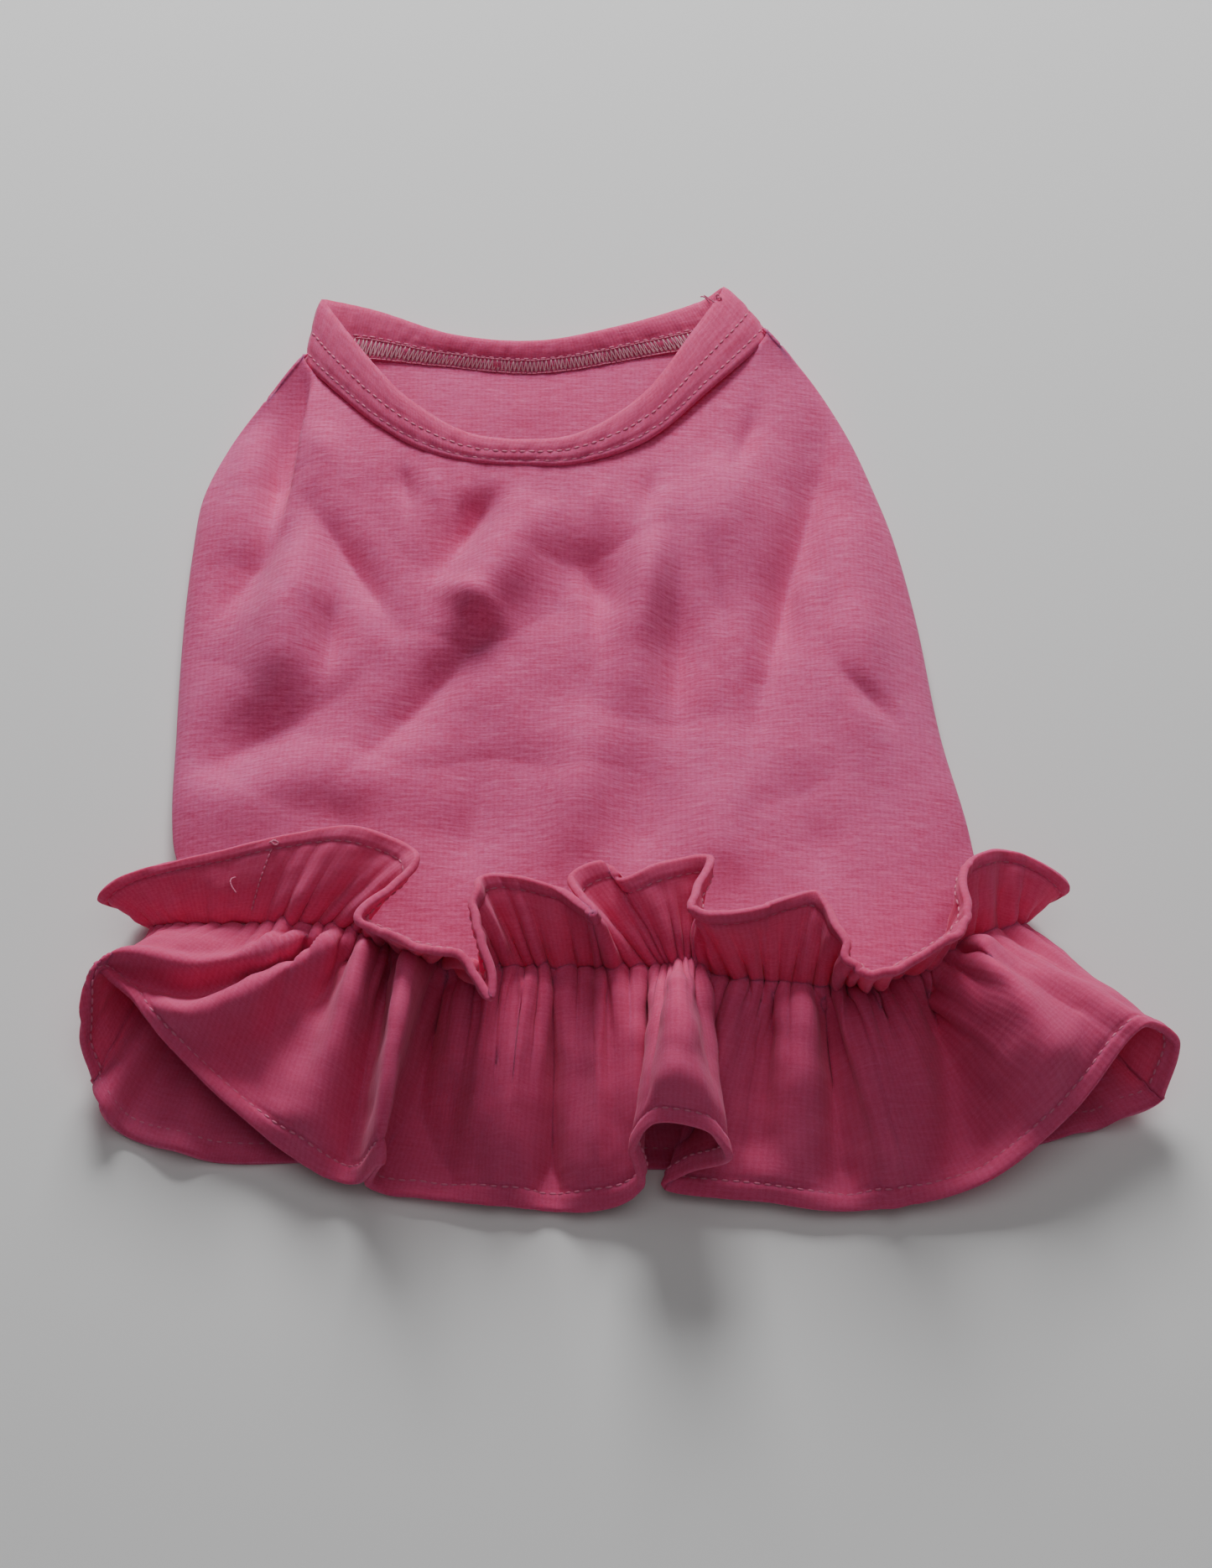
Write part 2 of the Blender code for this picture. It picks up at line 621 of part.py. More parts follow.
def build_dress():
    clear_scene()
    top = cloth_sheet(
        "top_panel", BODY_COLUMNS, BODY_ROWS, top_panel_point, CLOTH, COLOURS["top_panel"]
    )
    belly = cloth_sheet(
        "belly_panel", BELLY_COLUMNS, BELLY_ROWS, belly_panel_point, CLOTH, COLOURS["belly_panel"]
    )
    band = cloth_sheet(
        "neckband", BAND_COLUMNS, 2, neckband_point, BAND_THICKNESS, COLOURS["neckband"], joined=True
    )
    bindings = [leg_binding("leg_binding_left", -1), leg_binding("leg_binding_right", 1)]
    cutters = [cut_leg_hole(belly, "leg_hole_left", -1), cut_leg_hole(belly, "leg_hole_right", 1)]
    upper = cloth_sheet(
        "ruffle_upper",
        RUFFLE_COLUMNS,
        HEADER_ROWS + SKIRT_ROWS,
        ruffle_upper_point,
        CLOTH,
        COLOURS["ruffle_upper"],
    )
    under = cloth_sheet(
        "ruffle_under",
        UNDER_COLUMNS,
        UNDER_HEADER_ROWS + UNDER_SKIRT_ROWS,
        ruffle_under_point,
        CLOTH,
        COLOURS["ruffle_under"],
    )
    centre_on_floor([top, belly, band, *bindings, upper, under], cutters)


build_dress()
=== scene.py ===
import math
import random

import bmesh
import bpy
import numpy as np
from mathutils import Matrix, Vector, noise


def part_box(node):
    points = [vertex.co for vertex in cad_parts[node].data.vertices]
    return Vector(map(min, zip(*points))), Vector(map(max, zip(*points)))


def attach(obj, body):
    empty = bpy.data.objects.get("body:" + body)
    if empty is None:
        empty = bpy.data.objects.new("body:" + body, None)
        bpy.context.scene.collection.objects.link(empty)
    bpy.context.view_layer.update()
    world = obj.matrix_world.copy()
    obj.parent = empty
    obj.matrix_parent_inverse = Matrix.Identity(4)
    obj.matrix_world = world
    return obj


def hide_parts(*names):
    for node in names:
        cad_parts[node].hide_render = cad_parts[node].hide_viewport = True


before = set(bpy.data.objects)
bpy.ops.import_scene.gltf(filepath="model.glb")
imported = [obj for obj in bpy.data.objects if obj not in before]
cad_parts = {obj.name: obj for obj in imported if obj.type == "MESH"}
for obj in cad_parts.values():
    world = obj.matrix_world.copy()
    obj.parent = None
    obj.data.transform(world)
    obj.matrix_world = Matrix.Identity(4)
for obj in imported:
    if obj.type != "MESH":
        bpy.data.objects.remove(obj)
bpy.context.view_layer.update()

# The dress lies flat, neck to +Y, hem to -Y. The layout is worked out from the middle of the gathered waist
# and then carried to the place where the frame has the leg bindings.
sizes = {
    "waistWidth": 0.214,
    "waistBow": 0.020,
    "waistRise": 0.0178,
    "bodyLength": 0.170,
    "bodyRise": 0.0165,
    "neckWidth": 0.126,
    "neckMiddle": -0.014,
    "neckScoop": 0.042,
    "neckRise": 0.020,
    "headerDepth": 0.032,
    "skirtDepth": 0.068,
    "ruffleRise": 0.045,
    "skirtSpread": 0.267,
    "legSetback": 0.060,
    "legSpacing": 0.084,
    "wall": 0.0010,
}
leftLeg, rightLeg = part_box("leg_binding_left"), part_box("leg_binding_right")
legMiddle = [(leftLeg[0][i] + leftLeg[1][i] + rightLeg[0][i] + rightLeg[1][i]) / 4 for i in range(3)]
carry = Vector((
    legMiddle[0] - sizes["neckMiddle"] / 2,
    legMiddle[1] - (sizes["bodyLength"] - sizes["legSetback"]),
    0.0,
))


def table(columns, rows):
    names = columns.split()
    return {name: np.array([row[i] for row in rows], float) for i, name in enumerate(names)}


def read(rows, column, key):
    # a smooth curve through one column of a table, read at one key or many
    keys, values = rows["key"], rows[column]
    at = np.clip(np.asarray(key, float), keys[0], keys[-1])
    index = np.clip(np.searchsorted(keys, at, side="right") - 1, 0, len(keys) - 2)
    low = np.maximum(np.arange(len(keys)) - 1, 0)
    high = np.minimum(np.arange(len(keys)) + 1, len(keys) - 1)
    slopes = (values[high] - values[low]) / (keys[high] - keys[low])
    span = keys[index + 1] - keys[index]
    t = (at - keys[index]) / span
    r = 1.0 - t
    return (
        values[index] * r * r * (1 + 2 * t)
        + slopes[index] * span * t * r * r
        - slopes[index + 1] * span * t * t * r
        + values[index + 1] * t * t * (3 - 2 * t)
    )


def ease(x):
    held = np.clip(x, 0.0, 1.0)
    return held * held * (3 - 2 * held)


def mix(a, b, share):
    return a * (1 - share) + b * share


def point(x, y, z):
    # stacks coordinates, spreading single numbers over the others
    x, y, z = np.broadcast_arrays(np.asarray(x, float), np.asarray(y, float), np.asarray(z, float))
    return np.stack([x, y, z], axis=-1)


def surfaceNormals(places):
    across = np.gradient(places, axis=0)
    along = np.gradient(places, axis=1)
    normal = np.cross(across, along)
    length = np.linalg.norm(normal, axis=-1, keepdims=True)
    return normal / np.maximum(length, 1e-12)


def clothGrid(name, places, flat, wall, joined=False, thick=None, along=None, straight=False):
    # a grid of cloth laid out by an array of points; thick is the share of the wall that each point has, and
    # straight keeps the knit square to the plan instead of to the grid
    columns, rows = places.shape[0] - 1, places.shape[1] - 1
    work = bmesh.new()
    bmesh.ops.create_grid(work, x_segments=columns, y_segments=rows, size=0.5)
    uv = work.loops.layers.uv.new("cloth")
    weight = work.verts.layers.deform.verify()
    along = np.linspace(0, 1, rows + 1) if along is None else along
    where = {}
    for vertex in work.verts:
        i, j = round((vertex.co.x + 0.5) * columns), round((vertex.co.y + 0.5) * rows)
        where[vertex] = (i, j)
    for face in work.faces:
        face.smooth = True
        for loop in face.loops:
            i, j = where[loop.vert]
            if straight:
                loop[uv].uv = (places[i, j, 0] + flat[0] / 2, places[i, j, 1])
            else:
                loop[uv].uv = (i / columns * flat[0], along[j] * flat[1])
    for vertex, (i, j) in where.items():
        vertex.co = Vector(places[i, j]) + carry
        vertex[weight][0] = 1.0 if thick is None else float(thick[i, j])
    if joined:
        bmesh.ops.remove_doubles(work, verts=work.verts, dist=1e-6)
    bmesh.ops.recalc_face_normals(work, faces=work.faces)
    mesh = bpy.data.meshes.new(name)
    work.to_mesh(mesh)
    work.free()
    piece = bpy.data.objects.new(name, mesh)
    bpy.context.scene.collection.objects.link(piece)
    piece.vertex_groups.new(name="wall")
    solid = piece.modifiers.new("Wall", "SOLIDIFY")
    solid.thickness = wall
    solid.offset = 0.0
    solid.vertex_group = "wall"
    solid.use_quality_normals = True
    return piece


class Wire:
    # wraps a socket, so that shader maths reads as plain expressions
    def __init__(self, tree, socket):
        self.tree, self.socket = tree, socket

    def node(self, kind, settings=None, inputs=None):
        made = self.tree.nodes.new(kind)
        for key, value in (settings or {}).items():
            setattr(made, key, value)
        for key, value in (inputs or {}).items():
            target = made.inputs[key]
            if isinstance(value, Wire):
                self.tree.links.new(value.socket, target)
            else:
                target.default_value = value
        return made

    def out(self, kind, output, settings=None, inputs=None):
        return Wire(self.tree, self.node(kind, settings, inputs).outputs[output])

    def maths(self, operation, first, second=None):
        inputs = {0: first} if second is None else {0: first, 1: second}
        return self.out("ShaderNodeMath", 0, {"operation": operation}, inputs)

    def __add__(self, other):
        return self.maths("ADD", self, other)

    def __mul__(self, other):
        return self.maths("MULTIPLY", self, other)

    def __sub__(self, other):
        return self.maths("SUBTRACT", self, other)

    def sine(self):
        return self.maths("SINE", self)

    def clipped(self):
        return self.out("ShaderNodeClamp", 0, {}, {0: self, 1: 0.0, 2: 1.0})

    def noise(self, scale, detail=2.0, roughness=0.5):
        inputs = {"Vector": self, "Scale": scale, "Detail": detail, "Roughness": roughness}
        return self.out("ShaderNodeTexNoise", "Fac", {"noise_dimensions": "3D"}, inputs)

    def stretched(self, scale):
        return self.out("ShaderNodeMapping", 0, {"vector_type": "POINT"}, {"Vector": self, "Scale": scale})

    def colours(self, first, second):
        made = self.node("ShaderNodeMix", {"data_type": "RGBA"}, {0: self, 6: first, 7: second})
        return Wire(self.tree, made.outputs[2])


jersey = {
    "wale": 0.00125,  # one knitted column
    "knitDepth": 0.00010,
    "sway": (60.0, 0.0016),  # how the columns wander: scale and reach
    "streaks": (130.0, 1400.0, 1.0),
    "flecks": (560.0, 2200.0, 1.0),
    "clouds": 22.0,
    "fuzz": 1900.0,
    "bump": 0.55,
    "roughness": 0.88,
    "sheen": 0.16,
    "sheenRoughness": 0.5,
    "sheenTint": (1.0, 0.55, 0.68, 1.0),
    "glow": (0.55, (1.0, 0.18, 0.30)),  # light let through: weight and reach by colour
    "shine": 0.25,
    "light": (0.80, 0.165, 0.375, 1.0),
    "deep": (0.62, 0.070, 0.195, 1.0),
    "pale": (0.90, 0.36, 0.52, 1.0),
}


def jerseyMaterial(name, light, deep, pale, heather=1.0, through=0.0018):
    material = bpy.data.materials.new(name)
    material.use_nodes = True
    tree = material.node_tree
    shader = tree.nodes["Principled BSDF"]
    start = Wire(tree, None)
    cloth = start.out("ShaderNodeUVMap", "UV", {"uv_map": "cloth"})
    place = start.out("ShaderNodeTexCoord", "Object")
    u = start.out("ShaderNodeSeparateXYZ", 0, {}, {0: cloth})
    sway = (place.noise(jersey["sway"][0], 2.0) - 0.5) * jersey["sway"][1]
    wale = ((u + sway) * (2 * math.pi / jersey["wale"])).sine()
    streaks = cloth.stretched(jersey["streaks"]).noise(1.0, 3.0, 0.6)
    flecks = cloth.stretched(jersey["flecks"]).noise(1.0, 2.0, 0.7)
    clouds = place.noise(jersey["clouds"], 3.0, 0.55)
    fuzz = place.noise(jersey["fuzz"], 2.0, 0.6)
    tone = (streaks - 0.5) * (1.9 * heather) + (flecks - 0.5) * (1.5 * heather) + (clouds - 0.5) * 0.7
    tone = (tone + (fuzz - 0.5) * 0.75 + wale * 0.07 + 0.5).clipped()
    base = tone.colours(deep, light)
    fleck = ((flecks * streaks - 0.33) * 3.0 * heather).clipped()
    colour = (fleck * 0.5).colours(base, pale)
    tree.links.new(colour.socket, shader.inputs["Base Color"])
    height = wale * 0.24 + fuzz * 0.6 + streaks * (0.4 * heather)
    relief = {"Strength": jersey["bump"], "Distance": jersey["knitDepth"], "Height": height}
    bump = start.node("ShaderNodeBump", {}, relief)
    tree.links.new(bump.outputs[0], shader.inputs["Normal"])
    rough = (streaks - 0.5) * 0.12 + jersey["roughness"]
    tree.links.new(rough.socket, shader.inputs["Roughness"])
    shader.inputs["Subsurface Weight"].default_value = jersey["glow"][0]
    shader.inputs["Subsurface Radius"].default_value = jersey["glow"][1]
    shader.inputs["Subsurface Scale"].default_value = through
    shader.inputs["Sheen Weight"].default_value = jersey["sheen"]
    shader.inputs["Sheen Roughness"].default_value = jersey["sheenRoughness"]
    shader.inputs["Sheen Tint"].default_value = jersey["sheenTint"]
    shader.inputs["Specular IOR Level"].default_value = jersey["shine"]
    return material


def threadMaterial(name, colour):
    material = bpy.data.materials.new(name)
    material.use_nodes = True
    tree = material.node_tree
    shader = tree.nodes["Principled BSDF"]
    place = Wire(tree, None).out("ShaderNodeTexCoord", "Object")
    twist = place.noise(2500.0, 2.0)
    dark = tuple(channel * 0.7 for channel in colour[:3]) + (1.0,)
    tree.links.new(twist.colours(dark, colour).socket, shader.inputs["Base Color"])
    bump = Wire(tree, None).node("ShaderNodeBump", {}, {"Strength": 0.4, "Distance": 0.0001, "Height": twist})
    tree.links.new(bump.outputs[0], shader.inputs["Normal"])
    shader.inputs["Roughness"].default_value = 0.6
    return material


bodyJersey = jerseyMaterial("bodyJersey", jersey["light"], jersey["deep"], jersey["pale"])
bandJersey = jerseyMaterial(
    "bandJersey", (0.80, 0.145, 0.325, 1.0), (0.62, 0.060, 0.170, 1.0), jersey["pale"], 0.7
)
ruffleJersey = jerseyMaterial(
    "ruffleJersey", (0.76, 0.125, 0.285, 1.0), (0.61, 0.050, 0.150, 1.0), (0.86, 0.29, 0.46, 1.0),
    0.36, 0.0022,
)
pinkThread = threadMaterial("pinkThread", (0.80, 0.19, 0.34, 1.0))
paleThread = threadMaterial("paleThread", (0.93, 0.50, 0.60, 1.0))
print("materials made")


# the body's outline: shares of the waist's half width, and lift of the sides
sideRows = table("key left right lift", [
    (0.00, -0.90, 0.90, 0.22),
    (0.07, -0.93, 0.92, 0.18),
    (0.15, -0.97, 0.91, 0.08),
    (0.33, -0.98, 0.85, 0.00),
    (0.52, -0.98, 0.81, 0.00),
    (0.66, -0.97, 0.77, 0.00),
    (0.75, -0.955, 0.73, 0.02),
    (0.84, -0.90, 0.68, 0.08),
    (0.92, -0.82, 0.61, 0.24),
    (1.00, -0.72, 0.51, 0.48),
])
neckRows = table("key seamX seamY seamZ freeX freeY freeZ", [
    (0.000, -0.99, -0.10, 0.50, -0.93, 0.36, 0.68),
    (0.060, -0.86, -0.35, 0.70, -0.80, 0.01, 0.94),
    (0.120, -0.67, -0.66, 0.88, -0.66, -0.30, 1.05),
    (0.180, -0.48, -0.87, 0.97, -0.52, -0.54, 1.08),
    (0.240, -0.27, -0.98, 1.02, -0.27, -0.79, 1.09),
    (0.300, -0.02, -1.01, 1.03, 0.04, -0.84, 1.10),
    (0.350, 0.20, -0.99, 1.01, 0.25, -0.75, 1.09),
    (0.400, 0.49, -0.79, 0.92, 0.48, -0.46, 1.04),
    (0.450, 0.76, -0.36, 0.76, 0.66, -0.02, 0.92),
    (0.500, 1.01, 0.08, 0.60, 0.82, 0.42, 0.74),
    (0.560, 0.84, 0.11, 0.30, 0.72, 0.42, 0.42),
    (0.640, 0.50, 0.08, 0.10, 0.42, 0.29, 0.32),
    (0.740, 0.02, -0.04, 0.06, 0.02, 0.16, 0.30),
    (0.840, -0.42, 0.01, 0.08, -0.36, 0.20, 0.32),
    (0.930, -0.76, 0.01, 0.24, -0.70, 0.34, 0.46),
    (1.000, -0.99, -0.10, 0.50, -0.93, 0.36, 0.68),
])
frontEnd = 0.5  # the key at the neck's right corner

# wrinkles of the upper layer: a line from start to end, its width and its height in metres
wrinkleRows = [
    (-0.740, 0.900, -0.775, 0.640, 0.024, -0.0060),
    (-0.600, 0.960, -0.660, 0.720, 0.030, 0.0030),
    (-0.820, 0.920, -0.860, 0.660, 0.036, 0.0036),
    (-0.700, 0.690, -0.940, 0.460, 0.040, -0.0068),
    (-0.680, 0.685, -0.760, 0.325, 0.048, 0.0070),
    (-0.680, 0.705, -0.460, 0.485, 0.030, -0.0056),
    (-0.610, 0.535, -0.620, 0.395, 0.024, -0.0044),
    (-1.000, 0.230, -0.560, 0.370, 0.050, -0.0072),
    (-0.900, 0.185, -0.360, 0.265, 0.060, 0.0030),
    (-0.560, 0.235, -0.180, 0.505, 0.040, -0.0078),
    (-0.120, 0.705, -0.340, 0.385, 0.052, 0.0080),
    (-0.200, 0.735, -0.360, 0.565, 0.032, -0.0062),
    (-0.060, 0.625, 0.120, 0.485, 0.060, -0.0060),
    (0.180, 0.685, 0.100, 0.385, 0.036, 0.0076),
    (0.220, 0.565, 0.220, 0.285, 0.036, -0.0066),
    (0.610, 0.895, 0.395, 0.315, 0.036, -0.0100),
    (0.670, 0.725, 0.640, 0.225, 0.056, 0.0070),
    (0.360, 0.825, 0.280, 0.525, 0.048, 0.0040),
    (0.600, 0.405, 0.740, 0.315, 0.018, -0.0040),
    (0.010, 0.345, -0.050, 0.045, 0.046, 0.0048),
    (0.120, 0.285, 0.130, 0.045, 0.040, -0.0034),
    (0.360, 0.305, 0.300, 0.025, 0.046, 0.0036),
    (-0.240, 0.245, -0.310, 0.025, 0.044, -0.0034),
    (0.520, 0.185, 0.580, 0.005, 0.040, -0.0030),
    (-0.460, 0.810, -0.430, 0.670, 0.016, -0.0030),
    (-0.380, 0.800, -0.360, 0.680, 0.014, 0.0018),
    (0.160, 0.790, 0.150, 0.660, 0.016, -0.0032),
    (0.430, 0.940, 0.360, 0.770, 0.020, -0.0046),
    (-0.300, 0.780, -0.300, 0.670, 0.013, 0.0020),
    (0.040, 0.770, 0.030, 0.670, 0.013, 0.0020),
    (-0.100, 0.760, -0.120, 0.680, 0.012, -0.0016),
    (-0.360, 0.550, -0.180, 0.470, 0.022, 0.0030),
    (0.300, 0.620, 0.360, 0.400, 0.020, -0.0026),
    (-0.020, 0.600, 0.000, 0.440, 0.018, 0.0024),
    (-0.600, 0.200, -0.500, 0.050, 0.034, -0.0030),
    (0.500, 0.660, 0.540, 0.460, 0.020, 0.0022),
]

waistRows = table("key x y z", [
    (0.00, -0.975, 0.00, 0.25),
    (0.03, -1.00, 0.02, 0.55),
    (0.10, -0.86, 0.08, 0.76),
    (0.22, -0.56, 0.20, 0.98),
    (0.31, -0.36, 0.58, 1.02),
    (0.42, -0.14, 0.74, 1.06),
    (0.505, 0.07, 0.75, 1.07),
    (0.535, 0.165, 0.76, 1.08),
    (0.650, 0.270, 0.80, 1.08),
    (0.685, 0.36, 0.88, 1.07),
    (0.76, 0.52, 0.98, 1.06),
    (0.86, 0.73, 0.80, 0.98),
    (0.93, 0.88, 0.36, 0.84),
    (0.97, 1.00, 0.02, 0.55),
    (1.00, 0.975, 0.00, 0.25),
])


def sidePoint(key, which):
    lift = np.maximum(read(sideRows, "lift", key), 0.0) * sizes["neckRise"]
    x = read(sideRows, which, key) * sizes["waistWidth"] / 2
    return point(x, key * sizes["bodyLength"], sizes["wall"] / 2 + lift)


def neckPoint(key, edge):
    x = sizes["neckMiddle"] + read(neckRows, edge + "X", key) * sizes["neckWidth"] / 2
    y = sizes["bodyLength"] + read(neckRows, edge + "Y", key) * sizes["neckScoop"]
    return point(x, y, read(neckRows, edge + "Z", key) * sizes["neckRise"])


def neckEdge(key, tuck):
    # where a panel ends: just inside the band's seam, so that the band laps over it
    seam, free = neckPoint(key, "seam"), neckPoint(key, "free")
    outward = seam - free
    outward /= np.linalg.norm(outward, axis=-1, keepdims=True)
    place = seam - outward * tuck
    place[..., 2] = np.maximum(place[..., 2] - 0.0008, sizes["wall"] / 2)
    return place


def frontEdge(share):
    return neckEdge(share * frontEnd, 0.0024)


def backEdge(share):
    return neckEdge(1 - share * (1 - frontEnd), 0.0020)


def patch(bottom, top, u, v):
    # a patch between the waist, the neck's edge and the body's two sides
    one = np.ones(1)
    left = lambda key: sidePoint(key, "left") + (top(0 * one) - sidePoint(one, "left")) * (key**4)[..., None]
    right = lambda key: sidePoint(key, "right") + (top(one) - sidePoint(one, "right")) * (key**4)[..., None]
    uu, vv = u[..., None], v[..., None]
    across = left(v) * (1 - uu) + right(v) * uu
    along = bottom(u) * (1 - vv) + top(u) * vv
    low = bottom(0 * one) * (1 - uu) + bottom(one) * uu
    high = top(0 * one) * (1 - uu) + top(one) * uu
    return across + along - (low * (1 - vv) + high * vv), mix(left(v)[..., 2], right(v)[..., 2], u)


def waistY(u):
    return -read(waistRows, "y", u) * sizes["waistBow"]


def wrinkles(x, y):
    total = np.zeros_like(x)
    half, length = sizes["waistWidth"] / 2, sizes["bodyLength"]
    for xa, ya, xb, yb, width, height in wrinkleRows:
        start = np.array([xa * half, ya * length])
        line = np.array([xb * half, yb * length]) - start
        long = np.hypot(*line)
        dx, dy = x - start[0], y - start[1]
        share = (dx * line[0] + dy * line[1]) / long**2
        aside = (dx * line[1] - dy * line[0]) / long
        sharp = 2.0 if height > 0 else 1.5
        total += height * np.exp(-np.abs(aside / (width * length)) ** sharp - 1.5 * (2 * share - 1) ** 2)
    return total


tuck = {"start": (-0.672, 0.945), "end": (-0.722, 0.735), "depth": 0.0080, "reach": 0.0085, "lip": 0.0016}


def tuckHeight(x, y):
    # a step along a line: a lip on its inner side and a sharp drop on its outer side
    half, length = sizes["waistWidth"] / 2, sizes["bodyLength"]
    start = np.array([tuck["start"][0] * half, tuck["start"][1] * length])
    line = np.array([tuck["end"][0] * half, tuck["end"][1] * length]) - start
    share = ((x - start[0]) * line[0] + (y - start[1]) * line[1]) / (line @ line)
    outside = (x - start[0]) * line[1] - (y - start[1]) * line[0]
    outside /= np.hypot(*line)
    drop = np.exp(-np.maximum(outside, 0) / tuck["reach"]) * (1 - np.exp(-np.maximum(outside, 0) / 0.0007))
    lip = np.exp(np.minimum(outside, 0) / 0.0035) * (outside < 0) * tuck["lip"]
    fade = ease(1.55 - share * 1.05) * ease((share + 0.35) * 4)
    return (lip - drop * tuck["depth"]) * fade


def softNoise(x, y, scale, seed):
    flat = [noise.noise(Vector((a * scale, b * scale, seed))) for a, b in zip(x.ravel(), y.ravel())]
    return np.array(flat).reshape(x.shape)


def bellyHeight(u, v, sideLift):
    nearSide = 1 - ease(np.minimum(u, 1 - u) / 0.20)
    side = (sideLift - sizes["wall"] / 2) * nearSide
    overStrip = 0.0018 * (1 - ease((v - 0.16) / 0.16))
    neck = (backEdge(u)[..., 2] - sizes["wall"] / 2) * ease((v - 0.86) / 0.14)
    return 0.0007 + np.maximum(np.maximum(side, overStrip), neck)


def shares(columns, rows, crowded=0.0):
    u = np.linspace(0, 1, columns + 1)
    u = mix(u, 0.5 - 0.5 * np.cos(np.pi * u), crowded)
    return np.meshgrid(u, np.linspace(0, 1, rows + 1), indexing="ij")


upperLayer = {
    "columns": 240, "rows": 190, "flat": (0.225, 0.190), "roundness": 3.2, "sideFold": 0.0025,
    "crowding": 0.45,  # columns crowd towards the side folds
    "underRuffle": 0.0035,  # how far the layer runs on past the gathering line
    "clearance": 0.0015,  # least height kept over the layer below
}
panelShare = 0.90  # width of both layers at the waist, of the waist's own


def upperLayerPlaces():
    u, v = shares(upperLayer["columns"], upperLayer["rows"], upperLayer["crowding"])
    edge = sizes["waistWidth"] / 2 * panelShare
    bottom = lambda s: point(mix(-edge, edge, s), waistY(s) - upperLayer["underRuffle"], 0 * s)
    place, sideLift = patch(bottom, frontEdge, u, v)
    turn = np.sqrt(np.maximum(1 - np.abs(2 * u - 1) ** upperLayer["roundness"], 0))
    waistHeight = read(waistRows, "z", u) * sizes["waistRise"] - 0.0027
    middle = mix(waistHeight, sizes["bodyRise"], ease(v * 4))
    crest = mix(middle, frontEdge(u)[..., 2], ease(v * 2.5 - 1.5))
    low = bellyHeight(u, v, sideLift) + 0.0019
    height = mix(low, np.maximum(crest, low), turn)
    x, y = place[..., 0], place[..., 1]
    fade = ease(turn * 1.6 - 0.4) * ease(v * 6 - 0.6) * (0.12 + 0.88 * ease((1 - v) * 14 - 0.5))
    height += wrinkles(x, y) * fade
    height += softNoise(x, y, 38.0, 3.1) * 0.0014 * fade + softNoise(x, y, 90.0, 7.7) * 0.0005 * fade
    height += (np.abs(softNoise(x * 0.9, y * 1.2, 34.0, 5.2)) - 0.2) * 0.0024 * fade
    height += tuckHeight(x, y) * ease((1 - v) * 22) * ease(turn * 2.5)
    least, above = upperLayer["clearance"], height - low
    height = low + np.where(height > low + least, above, least * np.exp(np.minimum(above / least, 1) - 1))
    place[..., 0] += np.sign(u - 0.5) * upperLayer["sideFold"] * 4 * turn * (1 - turn)
    place[..., 2] = height
    return place


topPanel = clothGrid("topPanel", upperLayerPlaces(), upperLayer["flat"], sizes["wall"], straight=True)
topPanel.data.materials.append(bodyJersey)
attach(topPanel, "root")
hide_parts("top_panel")
print("upper layer made")

underLayer = {
    "columns": 110, "rows": 100, "flat": (0.212, 0.172), "holeWidth": 0.0466, "holeLength": 0.0586,
}


def legCentre(side):
    x = sizes["neckMiddle"] / 2 + side * sizes["legSpacing"] / 2
    return Vector((x, sizes["bodyLength"] - sizes["legSetback"], 0))


def underLayerPlaces():
    u, v = shares(underLayer["columns"], underLayer["rows"])
    edge = sizes["waistWidth"] / 2 * panelShare
    place, sideLift = patch(lambda s: point(mix(-edge, edge, s), 0.0012, 0 * s), backEdge, u, v)
    place[..., 2] = bellyHeight(u, v, sideLift)
    near = ease(1 - np.abs(v - 0.90) / 0.10)
    place[..., 2] += near * 0.0006 * (1 + softNoise(place[..., 0], place[..., 1], 70.0, 1.3))
    return place


def cutLegHole(panel, side):
    work = bmesh.new()
    bmesh.ops.create_cone(work, cap_ends=True, segments=64, radius1=0.5, radius2=0.5, depth=0.02)
    bmesh.ops.scale(work, vec=(underLayer["holeWidth"], underLayer["holeLength"], 1.0), verts=work.verts)
    bmesh.ops.translate(work, vec=legCentre(side) + carry, verts=work.verts)
    mesh = bpy.data.meshes.new("legHole")
    work.to_mesh(mesh)
    work.free()
    cutter = bpy.data.objects.new("legHole", mesh)
    bpy.context.scene.collection.objects.link(cutter)
    cut = panel.modifiers.new("Hole", "BOOLEAN")
    cut.object, cut.operation, cut.solver = cutter, "DIFFERENCE", "EXACT"
    return cutter


def applyModifiers(piece):
    graph = bpy.context.evaluated_depsgraph_get()
    done = bpy.data.meshes.new_from_object(piece.evaluated_get(graph), depsgraph=graph)
    piece.modifiers.clear()
    piece.data = done


bellyPanel = clothGrid(
    "bellyPanel", underLayerPlaces(), underLayer["flat"], sizes["wall"], straight=True
)
cutters = [cutLegHole(bellyPanel, -1), cutLegHole(bellyPanel, 1)]
applyModifiers(bellyPanel)
for cutter in cutters:
    bpy.data.objects.remove(cutter, do_unlink=True)
bellyPanel.data.materials.clear()
bellyPanel.data.materials.append(bodyJersey)
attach(bellyPanel, "root")
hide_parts("belly_panel")
print("underlying layer made")

band = {
    "columns": 360, "rows": 12, "flat": (0.345, 0.0105), "wall": 0.0019,
    "needles": (0.16, 0.47),  # the two stitch rows, as shares of the band's width
    "puff": 0.0005, "groove": 0.00050, "pucker": 0.0003,
}


